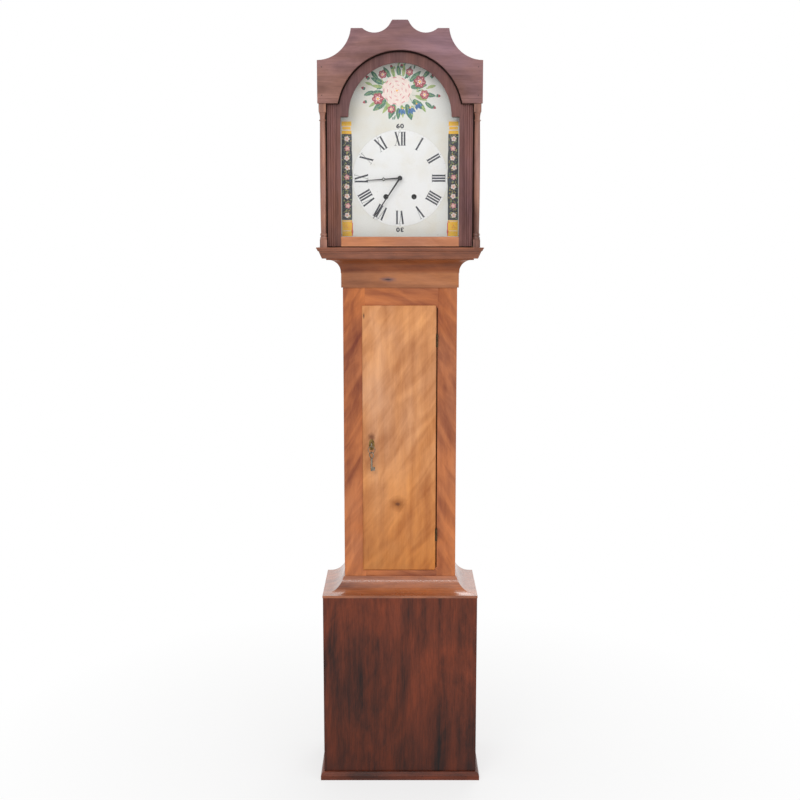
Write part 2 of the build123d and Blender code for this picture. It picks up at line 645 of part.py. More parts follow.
# Motion work and hands
cannon_outer = 2.2
hour_outer = 3.2
hand_thickness = 1.2

minute_angle = 214.0       # degrees clockwise from twelve
hour_angle = 266.0
minute_length = 124.0
hour_length = 88.0


def hand_blade(length, hub, root, tip, tail=0.0):
    """A flat tapered hand that points up, with a round hub."""
    blade = Polyline((-root / 2, -tail), (root / 2, -tail), (tip / 2, length - 3), (0, length),
                     (-tip / 2, length - 3), close=True)
    return make_face(blade) + Circle(hub)


def set_hand(face, y, angle):
    """Turn a hand drawn at the origin to its angle, clockwise from twelve."""
    return Pos(0, 0, hand_z) * Rot(0, angle, 0) * sheet(face, y, y + hand_thickness)


minute_hand = set_hand(hand_blade(minute_length, 5.2, 4.6, 2.0), minute_hand_y, minute_angle)
cannon_y0 = front_plate_y - 5.0
cannon_wheel = toothed(cannon_teeth, cannon_module, hand_centre, towards(hand_centre, minute_centre),
                       cannon_y0, cannon_y0 + 2)
cannon = rod(cannon_outer, minute_hand_y, front_plate_y - touch_gap, *hand_centre) + cannon_wheel
cannon_bore = rod(post_radius + running, minute_hand_y - 1, front_plate_y, *hand_centre)
minute_hand -= rod(cannon_outer, minute_hand_y, minute_hand_y + hand_thickness, *hand_centre)
save("minute_hand", minute_hand)
save("cannon_wheel", cannon - cannon_bore)

loop_z = 42.0
diamond = Polyline((0, loop_z - 6), (5.2, loop_z), (0, loop_z + 6), (-5.2, loop_z), close=True)
hour_face = hand_blade(hour_length, 6.0, 4.2, 1.8) + make_face(diamond)
hour_face -= Pos(0, loop_z) * Circle(2.2)
hour_bore = rod(cannon_outer + running, hour_hand_y, front_plate_y, *hand_centre)
hour_hand = set_hand(hour_face, hour_hand_y, hour_angle)
save("hour_hand", hour_hand - rod(hour_outer, hour_hand_y, hour_hand_y + hand_thickness, *hand_centre))
hour_y0 = dial_back + 7.0
hour_wheel = toothed(hour_teeth, hour_module, hand_centre, towards(hand_centre, minute_centre),
                     hour_y0, hour_y0 + 1.6)
hour_wheel += rod(hour_outer, hour_hand_y, cannon_y0 - touch_gap, *hand_centre)
save("hour_wheel", hour_wheel - hour_bore)

# Going train: the great wheel drives the minute arbor, then the third and escape arbors
front_y = train_y + 3.0
minute_arbor = arbor(minute_centre)
minute_arbor += rod(minute_radius, front_plate_y - touch_gap, train_y + end_shake, *minute_centre)
minute_arbor += rod(0.8, dial_back + 5.0, front_plate_y, *minute_centre)
minute_arbor += toothed(minute_leaves, hour_module, minute_centre, towards(minute_centre, hand_centre),
                        hour_y0 - 1, hour_y0 + 3.0, pinion=True)
minute_arbor += toothed(centre_pinion, great_module, minute_centre, towards(minute_centre, going_drum),
                        front_y - 1, front_y + 4, pinion=True)
step_minute = 360 / cannon_teeth
minute_wheel = toothed(cannon_teeth, cannon_module, minute_centre,
                       towards(minute_centre, hand_centre) + step_minute / 2, cannon_y0, cannon_y0 + 2)
centre_y = train_y + 51.0
centre_wheel = toothed(centre_teeth, centre_module, minute_centre, towards(minute_centre, third_centre),
                       centre_y, centre_y + 1.8)
save("minute_arbor", minute_arbor + minute_wheel + centre_wheel)

third_y = train_y + 33.0
third_arbor = arbor(third_centre)
third_arbor += toothed(third_pinion, centre_module, third_centre, towards(third_centre, minute_centre),
                       centre_y - 2, centre_y + 4, pinion=True)
third_arbor += toothed(third_teeth, third_module, third_centre, towards(third_centre, escape_centre),
                       third_y, third_y + 1.6)
save("third_wheel", third_arbor)

escape_y = train_y + 17.0
points = []
for tooth in range(escape_teeth):
    angle = tooth * 360 / escape_teeth
    points.append(place(*escape_centre, escape_radius, angle))
    points.append(place(*escape_centre, escape_radius - 2.6, angle + 3.0))
    points.append(place(*escape_centre, escape_radius - 2.6, angle + 9.0))
escape_face = make_face(Polyline(*points, close=True))
escape_arbor = arbor(escape_centre) + sheet(escape_face, escape_y, escape_y + 1.5)
escape_arbor += toothed(escape_pinion, third_module, escape_centre, towards(escape_centre, third_centre),
                        third_y - 2, third_y + 4, pinion=True)
save("escape_wheel", escape_arbor)

# Drums and great wheels, going on the right and striking on the left
drum_y0 = front_y + 6.0
drum_y1 = drum_y0 + 38.0
square = 4.2


def great_wheel(teeth, centre, partner):
    """A great wheel that turns on the drum's arbor, with its collar."""
    wheel = toothed(teeth, great_module, centre, towards(centre, partner), front_y, front_y + 2.5)
    wheel += rod(7.0, train_y + 1.0, front_y + 4.0, *centre)
    return wheel - rod(winding_radius + running, train_y, front_y + 4.0, *centre)


def drum_and_arbor(centre):
    """The line drum with its flanges, on an arbor with a square front end for the key."""
    body = rod(drum_radius, drum_y0, drum_y1, *centre)
    body += rod(15.0, front_y + 4.0 + touch_gap, drum_y0, *centre)
    body += rod(drum_radius + 2, drum_y1, drum_y1 + 2.0, *centre)
    body += rod(winding_radius, front_plate_y - 4, back_plate_y - end_shake, *centre)
    body += board(centre[0] - square / 2, centre[0] + square / 2, dial_y + 2, front_plate_y - 4,
                  centre[1] - square / 2, centre[1] + square / 2)
    return body + rod(back_pivot, back_plate_y - end_shake, back_end_y, *centre)


save("going_great_wheel", great_wheel(great_teeth, going_drum, minute_centre))
save("strike_great_wheel", great_wheel(strike_teeth, strike_drum, pin_centre))
save("going_drum", drum_and_arbor(going_drum))
save("strike_drum", drum_and_arbor(strike_drum))

# Striking train: pin wheel, fly, hammer and bell
pin_arbor = arbor(pin_centre)
pin_arbor += toothed(pin_pinion_teeth, great_module, pin_centre, towards(pin_centre, strike_drum),
                     front_y - 1, front_y + 4, pinion=True)
pin_y = centre_y
pin_arbor += toothed(pin_teeth, pin_module, pin_centre, towards(pin_centre, fly_centre), pin_y, pin_y + 1.6)
pin_count = 8
for pin in range(pin_count):
    pin_arbor += rod(0.9, pin_y, pin_y + 5, *place(*pin_centre, 17.0, pin * 360 / pin_count))
save("pin_wheel", pin_arbor)
fly = arbor(fly_centre, radius=1.1)
fly += toothed(fly_pinion, pin_module, fly_centre, towards(fly_centre, pin_centre),
               pin_y - 2, pin_y + 3.5, pinion=True)
fly_y0 = train_y + 20.0
fly += board(fly_centre[0] - 17, fly_centre[0] + 17, fly_y0, fly_y0 + 16,
             fly_centre[1] - 0.4, fly_centre[1] + 0.4)
save("fly", fly)

bell_x = -20.0
bell_y = train_y + 24.0
bell_radius = 38.0
bell_low = plate_high + 12.0
bell_wall = 2.0
bell_height = 34.0


def dome(radius, low, high):
    """A round bell shape that flares a little at the mouth."""
    profile = outline(
        Line((0, low), (radius, low)),
        ThreePointArc((radius, low), (radius * 0.86, low + (high - low) * 0.55), (radius * 0.42, high)),
        Polyline((radius * 0.42, high), (0, high), (0, low)))
    return Pos(bell_x, bell_y, 0) * revolve(Plane.XZ * profile, Axis.Z)


bell_top = bell_low + bell_height
bell = dome(bell_radius, bell_low, bell_top) - dome(bell_radius - bell_wall, bell_low, bell_top - bell_wall)
save("bell", bell)
stand_half = 4.0
stand = board(bell_x - stand_half, bell_x + stand_half, back_end_y, back_end_y + 3,
              plate_high - 12, bell_top + 3)
stand += board(bell_x - stand_half, bell_x + stand_half, bell_y - stand_half, back_end_y,
               bell_top, bell_top + 3)

hammer_rise = bell_low + 6.0 - hammer_centre[1]
hammer_head = 5.0
hammer_head_x = bell_x - bell_radius - hammer_head - 1.0
hammer = arbor(hammer_centre) + rod(3.0, bell_y - 4, bell_y + 4, *hammer_centre)
hammer += sheet(make_face(Polyline(
    (hammer_centre[0] - 1.2, hammer_centre[1]), (hammer_centre[0] + 1.2, hammer_centre[1]),
    (hammer_head_x + 1.2, hammer_centre[1] + hammer_rise),
    (hammer_head_x - 1.2, hammer_centre[1] + hammer_rise),
    close=True)), bell_y - 1, bell_y + 1)
head_place = Pos(hammer_head_x, bell_y, hammer_centre[1] + hammer_rise)
hammer += head_place * Rot(0, 90, 0) * Cylinder(4.5, 2 * hammer_head)
save("hammer", hammer)

# Escapement and pendulum: both turn on one line through the pallet arbor
crutch_y = back_end_y + 4.0
cock_y0 = back_end_y + 9.0
cock_y1 = cock_y0 + 3.0
pallet_arbor = rod(arbor_radius, train_y + end_shake, cock_y0 - end_shake, *pallet_centre)
pallet_arbor += rod(pivot_radius, front_plate_y, cock_y1 - end_shake, *pallet_centre)
nib_x = 15.4
nib_z = escape_centre[1] + 11.8
arm = outline(
    Polyline((0, pallet_z + 5), (-8, pallet_z), (-nib_x - 1.5, nib_z + 8), (-nib_x - 1.5, nib_z + 2),
             (-nib_x, nib_z), (-nib_x + 2.0, nib_z + 3), (-nib_x + 2.5, nib_z + 7), (0, pallet_z - 5),
             (nib_x - 2.5, nib_z + 7), (nib_x - 2.0, nib_z + 3), (nib_x, nib_z), (nib_x + 1.5, nib_z + 2),
             (nib_x + 1.5, nib_z + 8), (8, pallet_z), (0, pallet_z + 5)))
pallet_arbor += sheet(arm, escape_y - 1.0, escape_y + 2.5)
crutch_drop = 110.0
fork_half = rod_radius + touch_gap + 1.0
crutch = rod(4.0, crutch_y - 1.5, crutch_y + 2.5, *pallet_centre)
crutch -= rod(arbor_radius, crutch_y - 2, crutch_y + 3, *pallet_centre)
crutch += board(-1.5, 1.5, crutch_y - 1, crutch_y + 1, pallet_z - crutch_drop, pallet_z - 3.5)
crutch += board(-fork_half - 1, fork_half + 1, crutch_y - 1, crutch_y + 1,
                pallet_z - crutch_drop - 3, pallet_z - crutch_drop)
for side in (-1, 1):
    crutch += rod(1.0, crutch_y, pendulum_y + 4, side * fork_half, pallet_z - crutch_drop - 1.5)
save("pallets", pallet_arbor, crutch)

lug_gap = 4.2
lug = 3.0
lug_y0 = cock_y1
cock = board(-28, 28, cock_y0, cock_y1, pallet_z - 8, pallet_z + 10)
cock += board(-6, 6, cock_y1, pendulum_y + lug_gap / 2 + lug, pallet_z + 6, pallet_z + 10)
for y0, y1 in ((cock_y1, pendulum_y - lug_gap / 2),
               (pendulum_y + lug_gap / 2, pendulum_y + lug_gap / 2 + lug)):
    cock += board(-6, 6, y0, y1, pallet_z - 5, pallet_z + 10)
cock -= rod(pivot_radius + running, cock_y0, cock_y1, *pallet_centre)
pin_radius = 1.5
cock -= rod(pin_radius + running, cock_y1 + 0.5, pendulum_y + lug_gap / 2 + lug, *pallet_centre)
for side in (-1, 1):
    cock += rod(4.0, back_end_y, cock_y0, side * 20, pallet_z)
save("back_cock", cock, stand)

pin_front = cock_y1 + 0.8
pendulum_pin = rod(pin_radius, pin_front, pendulum_y + lug_gap / 2 + lug, *pallet_centre)
pendulum_pin += rod(4.0, pendulum_y - lug_gap / 2 + touch_gap,
                    pendulum_y + lug_gap / 2 - touch_gap, *pallet_centre)
bob_z = pallet_z - pendulum_length
nut_drop = 12.0
spring_end = pallet_z - 40.0
suspension = pendulum_pin + board(-3, 3, pendulum_y - 0.3, pendulum_y + 0.3, spring_end, pallet_z)
rod_low = bob_z - bob_radius - nut_drop - 8
pendulum_rod = post(rod_radius, rod_low, spring_end, 0, pendulum_y)
half = bob_thickness / 2
bob_arc = outline(Line((0, -half), (0, half)),
                  ThreePointArc((0, half), (bob_radius * 0.72, half * 0.5), (bob_radius, 0)),
                  ThreePointArc((bob_radius, 0), (bob_radius * 0.72, -half * 0.5), (0, -half)))
bob = Pos(0, pendulum_y, bob_z) * Rot(90, 0, 0) * revolve(Plane.XZ * bob_arc, Axis.Z)
save("pendulum_bob", bob - post(rod_radius, bob_z - bob_radius - 1, bob_z + bob_radius + 1, 0, pendulum_y))
nut = post(7.0, bob_z - bob_radius - nut_drop, bob_z - bob_radius - nut_drop + 5, 0, pendulum_y)
save("pendulum_rod", suspension, pendulum_rod, nut - post(rod_radius, rod_low, bob_z, 0, pendulum_y))

# Weights, each hung from a pulley on a double line
line_y = (drum_y0 + drum_y1) / 2
sheave_half = 3.0
sheave_bore = 2.0
stirrup_plate = 1.6
hook_rise = 20.0
sheave_z = weight_bottom + weight_height + hook_rise + 38.0


def hung_weight(name, drum):
    """One weight with its stirrup, sheave, two line strands and the turn round the sheave."""
    wound_x = drum[0] - drum_line
    x = wound_x + sheave_radius
    top = weight_bottom + weight_height
    body = post(weight_radius, weight_bottom, top, x, line_y)
    body = chamfer(body.edges(), 3.0)
    body += post(8.0, top, top + 6, x, line_y)
    body += post(2.0, top + 6, top + hook_rise, x, line_y)
    outer = sheave_half + touch_gap + stirrup_plate
    low = top + hook_rise
    stirrup = board(x - 6, x + 6, line_y - outer, line_y + outer, low, low + 3)
    for side in (-1, 1):
        y0, y1 = sorted((line_y + side * outer, line_y + side * (outer - stirrup_plate)))
        stirrup += board(x - 6, x + 6, y0, y1, low, sheave_z + 7)
    stirrup += rod(sheave_bore - running, line_y - outer, line_y + outer, x, sheave_z)
    groove = line_radius + touch_gap
    rim = sheave_radius + 1.4
    half_plan = outline(
        Polyline((sheave_bore, -sheave_half), (rim, -sheave_half), (rim, -groove),
                 (sheave_radius - groove, -groove),
                 (sheave_radius - groove, groove), (rim, groove), (rim, sheave_half),
                 (sheave_bore, sheave_half),
                 (sheave_bore, -sheave_half)))
    disc = Pos(x, line_y, sheave_z) * Rot(90, 0, 0) * revolve(Plane.XZ * half_plan, Axis.Z)
    save(f"{name}_sheave", disc)
    lap = Pos(x, line_y, sheave_z) * Rot(90, 0, 0) * Torus(sheave_radius, line_radius)
    lap &= board(x - 30, x + 30, line_y - 2, line_y + 2, sheave_z - 30, sheave_z)
    save(f"{name}_weight", body, stirrup, lap)
    save(f"{name}_line_rising", post(line_radius, sheave_z, drum[1], wound_x, line_y))
    save(f"{name}_line_fixed", post(line_radius, sheave_z, cheek_top, x + sheave_radius, line_y))
    print(name, "weight at", round(x, 2), round(line_y, 2), "sheave", round(sheave_z, 1))


hung_weight("going", going_drum)
hung_weight("strike", strike_drum)
for label, centre in (("minute", minute_centre), ("third", third_centre),
                      ("pin", pin_centre), ("fly", fly_centre)):
    print(label, "arbor at", [round(v, 3) for v in centre])
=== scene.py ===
# Longcase clock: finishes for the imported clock, its painted dial and its small fittings.
# Metres. +X is the clock's right from the front, +Y the back, +Z up.
import json
import math
import random

import bmesh
import bpy
from mathutils import Matrix, Vector


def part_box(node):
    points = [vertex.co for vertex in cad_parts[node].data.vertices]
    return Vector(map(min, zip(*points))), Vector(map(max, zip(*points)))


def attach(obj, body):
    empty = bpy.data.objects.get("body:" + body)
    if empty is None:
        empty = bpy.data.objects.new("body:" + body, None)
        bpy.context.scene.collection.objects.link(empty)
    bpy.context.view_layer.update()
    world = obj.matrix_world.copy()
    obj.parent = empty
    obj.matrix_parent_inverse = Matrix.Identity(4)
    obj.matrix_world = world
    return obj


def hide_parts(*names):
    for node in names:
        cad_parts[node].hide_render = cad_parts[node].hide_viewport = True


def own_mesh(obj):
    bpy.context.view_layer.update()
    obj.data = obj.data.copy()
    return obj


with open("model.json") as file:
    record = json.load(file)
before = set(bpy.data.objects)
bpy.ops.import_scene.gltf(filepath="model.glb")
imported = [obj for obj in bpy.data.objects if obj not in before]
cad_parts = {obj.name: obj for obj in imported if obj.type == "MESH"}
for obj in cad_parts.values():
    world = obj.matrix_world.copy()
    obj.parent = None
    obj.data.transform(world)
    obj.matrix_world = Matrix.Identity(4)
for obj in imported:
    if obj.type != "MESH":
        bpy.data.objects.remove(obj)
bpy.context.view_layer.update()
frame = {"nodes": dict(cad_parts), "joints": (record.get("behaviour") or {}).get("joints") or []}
nodes = frame["nodes"]
joints = {joint["name"]: joint for joint in frame["joints"]}
scene = bpy.context.scene
mm = 0.001
print("frame loaded:", len(nodes), "nodes")


def linear(red, green, blue):
    # 0-255 screen colour to the linear value a shader wants
    values = []
    for channel in (red, green, blue):
        share = channel / 255
        values.append(share / 12.92 if share < 0.04045 else ((share + 0.055) / 1.055) ** 2.4)
    return (*values, 1.0)


# Node helpers
def newGroup(name, inputs, outputs):
    group = bpy.data.node_groups.new(name, "ShaderNodeTree")
    for label, kind, value in inputs:
        socket = group.interface.new_socket(name=label, in_out="INPUT", socket_type=kind)
        if value is not None:
            socket.default_value = value
    for label, kind in outputs:
        group.interface.new_socket(name=label, in_out="OUTPUT", socket_type=kind)
    return group, group.nodes.new("NodeGroupInput"), group.nodes.new("NodeGroupOutput")


def mathNode(tree, operation, first, second=None, clamp=False):
    node = tree.nodes.new("ShaderNodeMath")
    node.operation = operation
    node.use_clamp = clamp
    for index, value in enumerate((first, second)):
        if value is None:
            continue
        if isinstance(value, (int, float)):
            node.inputs[index].default_value = value
        else:
            tree.links.new(value, node.inputs[index])
    return node.outputs[0]


def mixColour(tree, share, first, second, mode="MIX"):
    node = tree.nodes.new("ShaderNodeMix")
    node.data_type = "RGBA"
    node.blend_type = mode
    for socket, value in ((node.inputs[0], share), (node.inputs[6], first), (node.inputs[7], second)):
        if isinstance(value, (int, float, tuple)):
            socket.default_value = value
        else:
            tree.links.new(value, socket)
    return node.outputs[2]


def ramp(tree, value, low, high, toLow=0.0, toHigh=1.0):
    node = tree.nodes.new("ShaderNodeMapRange")
    tree.links.new(value, node.inputs["Value"])
    for label, number in (("From Min", low), ("From Max", high), ("To Min", toLow), ("To Max", toHigh)):
        node.inputs[label].default_value = number
    return node.outputs["Result"]


def stretched(tree, vector, scale):
    node = tree.nodes.new("ShaderNodeVectorMath")
    node.operation = "MULTIPLY"
    tree.links.new(vector, node.inputs[0])
    node.inputs[1].default_value = scale
    return node.outputs[0]


def noise(tree, vector, scale, detail=4.0, roughness=0.55, distortion=0.0):
    node = tree.nodes.new("ShaderNodeTexNoise")
    tree.links.new(vector, node.inputs["Vector"])
    node.inputs["Scale"].default_value = scale
    node.inputs["Detail"].default_value = detail
    node.inputs["Roughness"].default_value = roughness
    node.inputs["Distortion"].default_value = distortion
    return node.outputs["Fac"]


def lengthOf(tree, vector):
    node = tree.nodes.new("ShaderNodeVectorMath")
    node.operation = "LENGTH"
    tree.links.new(vector, node.inputs[0])
    return node.outputs["Value"]


def axisOf(tree, vector, axis):
    node = tree.nodes.new("ShaderNodeSeparateXYZ")
    tree.links.new(vector, node.inputs[0])
    return node.outputs[axis]


def startMaterial(name):
    material = bpy.data.materials.new(name)
    material.use_nodes = True
    return material, material.node_tree, material.node_tree.nodes["Principled BSDF"]


# Camera at the photograph's place and angle, and a pale studio
photoCamera = {"lens": 51.75, "place": (0.0, -3.04375, 1.4697), "pitch": 8.41}
cameraData = bpy.data.cameras.new("photoCamera")
cameraData.lens = photoCamera["lens"]
cameraData.sensor_width = 36
cameraObject = bpy.data.objects.new("photoCamera", cameraData)
scene.collection.objects.link(cameraObject)
cameraObject.location = photoCamera["place"]
cameraObject.rotation_euler = (math.radians(90 - photoCamera["pitch"]), 0, 0)
scene.camera = cameraObject

studio = {
    "worldLight": 0.58,
    "key": {"place": (-1.6, -3.2, 3.4), "aim": (0, 0, 1.1), "size": (1.8, 1.8), "power": 36},
    "fill": {"place": (2.6, -2.8, 1.6), "aim": (0, 0, 1.0), "size": (2.2, 2.2), "power": 18},
    "strip": {"place": (0, -3.2, 2.85), "aim": (0, 0, 0.6), "size": (3.4, 0.36), "power": 26},
    "rim": {"place": (0.6, 2.6, 2.8), "aim": (0, 0, 1.2), "size": (2.0, 2.0), "power": 34},
}
for lampName in ("key", "fill", "strip", "rim"):
    setting = studio[lampName]
    lampData = bpy.data.lights.new(lampName + "Lamp", "AREA")
    lampData.shape = "RECTANGLE"
    lampData.size, lampData.size_y = setting["size"]
    lampData.energy = setting["power"]
    lamp = bpy.data.objects.new(lampName + "Lamp", lampData)
    scene.collection.objects.link(lamp)
    lamp.location = setting["place"]
    aim = Vector(setting["aim"]) - Vector(setting["place"])
    lamp.rotation_euler = aim.to_track_quat("-Z", "Y").to_euler()
scene.view_settings.view_transform = "Standard"


def seenBackground(tree):
    # 1 where the background is seen directly, in a reflection or through glass
    path = tree.nodes.new("ShaderNodeLightPath")
    seen = path.outputs["Is Camera Ray"]
    for other in ("Is Glossy Ray", "Is Transmission Ray"):
        seen = mathNode(tree, "MAXIMUM", seen, path.outputs[other])
    return seen


world = bpy.data.worlds.new("paleStudio")
scene.world = world
world.use_nodes = True
worldTree = world.node_tree
background = worldTree.nodes["Background"]
background.inputs["Color"].default_value = (1, 1, 1, 1)
strength = ramp(worldTree, seenBackground(worldTree), 0, 1, studio["worldLight"], 1.0)
worldTree.links.new(strength, background.inputs["Strength"])

floorLook = {"size": 14.0, "fadeStart": 0.25, "fadeEnd": 1.3, "shadowShare": 0.68}
floorMesh = bmesh.new()
bmesh.ops.create_grid(floorMesh, x_segments=1, y_segments=1, size=floorLook["size"])
floorData = bpy.data.meshes.new("studioFloor")
floorMesh.to_mesh(floorData)
floorMesh.free()
floor = bpy.data.objects.new("studioFloor", floorData)
scene.collection.objects.link(floor)
floorMaterial, tree, surface = startMaterial("studioFloor")
surface.inputs["Base Color"].default_value = (0.86, 0.86, 0.86, 1)
surface.inputs["Roughness"].default_value = 0.9
surface.inputs["Specular IOR Level"].default_value = 0.0
bright = tree.nodes.new("ShaderNodeEmission")
bright.inputs["Color"].default_value = (1, 1, 1, 1)
blend = tree.nodes.new("ShaderNodeMixShader")
place = tree.nodes.new("ShaderNodeTexCoord")
fade = ramp(tree, lengthOf(tree, place.outputs["Object"]), floorLook["fadeStart"], floorLook["fadeEnd"],
            floorLook["shadowShare"], 1.0)
tree.links.new(mathNode(tree, "MULTIPLY", fade, seenBackground(tree)), blend.inputs["Fac"])
tree.links.new(surface.outputs[0], blend.inputs[1])
tree.links.new(bright.outputs[0], blend.inputs[2])
tree.links.new(blend.outputs[0], tree.nodes["Material Output"].inputs["Surface"])
floorData.materials.append(floorMaterial)
print("studio ready")


# Grain runs along Z of the vector that comes in. Rays is the slanting figure that crosses it, at the
# Figure angle from the level in radians.
group, groupIn, groupOut = newGroup(
    "boardGrain",
    [("Vector", "NodeSocketVector", None), ("Dark", "NodeSocketColor", None),
     ("Light", "NodeSocketColor", None), ("Streak", "NodeSocketFloat", 0.6),
     ("Rings", "NodeSocketFloat", 0.3), ("Rays", "NodeSocketFloat", 0.3), ("Figure", "NodeSocketFloat", 1.0),
     ("Blotch", "NodeSocketFloat", 0.3), ("Pores", "NodeSocketFloat", 0.2)],
    [("Color", "NodeSocketColor"), ("Height", "NodeSocketFloat"), ("Wear", "NodeSocketFloat")])
vector = groupIn.outputs["Vector"]


def toneShift(tree, value, low, high, amount):
    # how far a pattern moves the tone either way from the middle
    centred = mathNode(tree, "SUBTRACT", ramp(tree, value, low, high), 0.5)
    return mathNode(tree, "MULTIPLY", centred, amount)


broad = noise(group, stretched(group, vector, (1, 1, 0.13)), 30, 6, 0.66, 0.5)
fine = noise(group, stretched(group, vector, (1, 1, 0.05)), 210, 3, 0.6)
pores = noise(group, stretched(group, vector, (1, 1, 0.035)), 900, 2, 0.5)
rings = group.nodes.new("ShaderNodeTexWave")
rings.wave_type = "BANDS"
rings.bands_direction = "X"
group.links.new(stretched(group, vector, (1, 1, 0.09)), rings.inputs["Vector"])
for label, number in (("Scale", 7.0), ("Distortion", 9.0), ("Detail", 3.0), ("Detail Scale", 1.6)):
    rings.inputs[label].default_value = number
turn = group.nodes.new("ShaderNodeVectorRotate")
turn.rotation_type = "Y_AXIS"
group.links.new(vector, turn.inputs["Vector"])
group.links.new(groupIn.outputs["Figure"], turn.inputs["Angle"])
stripe = noise(group, stretched(group, turn.outputs["Vector"], (0.2, 0.4, 1.0)), 38, 3, 0.5, 0.7)
patch = noise(group, stretched(group, vector, (1, 1, 0.42)), 7, 5, 0.62, 0.6)
tone = mathNode(group, "ADD", mathNode(group, "MULTIPLY", broad, 0.7),
                mathNode(group, "MULTIPLY", fine, 0.3))
tone = toneShift(group, tone, 0.35, 0.65, groupIn.outputs["Streak"])
for value, low, high, label in ((rings.outputs["Fac"], 0.0, 1.0, "Rings"), (stripe, 0.36, 0.64, "Rays"),
                                (patch, 0.32, 0.68, "Blotch")):
    tone = mathNode(group, "ADD", tone, toneShift(group, value, low, high, groupIn.outputs[label]))
tone = mathNode(group, "ADD", tone, 0.5, clamp=True)
woodColour = mixColour(group, tone, groupIn.outputs["Dark"], groupIn.outputs["Light"])
hue = ramp(group, noise(group, stretched(group, vector, (1, 1, 0.5)), 5.5, 4, 0.6, 0.5), 0.34, 0.66)
hueTint = mixColour(group, hue, (1.08, 0.98, 0.78, 1), (0.95, 0.99, 1.2, 1))    # golden to cool
woodColour = mixColour(group, 1.0, woodColour, hueTint, "MULTIPLY")
poreMask = ramp(group, pores, 0.5, 0.66)
woodColour = mixColour(group, mathNode(group, "MULTIPLY", poreMask, groupIn.outputs["Pores"]), woodColour,
                       groupIn.outputs["Dark"], "MULTIPLY")
group.links.new(woodColour, groupOut.inputs["Color"])
height = mathNode(group, "SUBTRACT", mathNode(group, "MULTIPLY", fine, 0.5),
                  mathNode(group, "MULTIPLY", poreMask, 0.5))
group.links.new(height, groupOut.inputs["Height"])
group.links.new(noise(group, vector, 14, 4, 0.6), groupOut.inputs["Wear"])
boardGrain = group

# Handling marks and fine scratches on any hard surface
group, groupIn, groupOut = newGroup(
    "agedSurface",
    [("Vector", "NodeSocketVector", None), ("Scale", "NodeSocketFloat", 30.0),
     ("Amount", "NodeSocketFloat", 0.5)],
    [("Mask", "NodeSocketFloat"), ("Height", "NodeSocketFloat")])
spots = group.nodes.new("ShaderNodeTexNoise")
group.links.new(groupIn.outputs["Vector"], spots.inputs["Vector"])
group.links.new(groupIn.outputs["Scale"], spots.inputs["Scale"])
spots.inputs["Detail"].default_value = 5
scratch = noise(group, stretched(group, groupIn.outputs["Vector"], (1.0, 1.0, 0.15)), 420, 3, 0.6)
mask = mathNode(group, "MULTIPLY", ramp(group, spots.outputs["Fac"], 0.42, 0.68), groupIn.outputs["Amount"])
group.links.new(mask, groupOut.inputs["Mask"])
group.links.new(mathNode(group, "ADD", mathNode(group, "MULTIPLY", scratch, 0.4), spots.outputs["Fac"]),
                groupOut.inputs["Height"])
agedSurface = group


def objectVector(tree, location=(0, 0, 0), rotation=(0, 0, 0), scale=(1, 1, 1)):
    coordinates = tree.nodes.new("ShaderNodeTexCoord")
    mapping = tree.nodes.new("ShaderNodeMapping")
    mapping.inputs["Location"].default_value = location
    mapping.inputs["Rotation"].default_value = rotation
    mapping.inputs["Scale"].default_value = scale
    tree.links.new(coordinates.outputs["Object"], mapping.inputs["Vector"])
    return mapping.outputs["Vector"]


def setBump(tree, surface, height, strength, distance):
    bump = tree.nodes.new("ShaderNodeBump")
    bump.inputs["Strength"].default_value = strength
    bump.inputs["Distance"].default_value = distance
    tree.links.new(height, bump.inputs["Height"])
    tree.links.new(bump.outputs["Normal"], surface.inputs["Normal"])


def darkSpots(tree, colour, spots):
    # knots, nicks and other dark patches: (x, z, half width, half height, colour) in metres
    for spotX, spotZ, halfWidth, halfHeight, spotColour in spots:
        local = objectVector(tree, (-spotX / halfWidth, 0, -spotZ / halfHeight), (0, 0, 0),
                             (1 / halfWidth, 0.01, 1 / halfHeight))
        wobble = tree.nodes.new("ShaderNodeTexNoise")
        tree.links.new(local, wobble.inputs["Vector"])
        wobble.inputs["Scale"].default_value = 1.4
        edge = mathNode(tree, "ADD", lengthOf(tree, local),
                        mathNode(tree, "MULTIPLY", wobble.outputs["Fac"], 0.8))
        colour = mixColour(tree, ramp(tree, edge, 0.7, 1.5, 0.85, 0.0), colour, spotColour)
    return colour


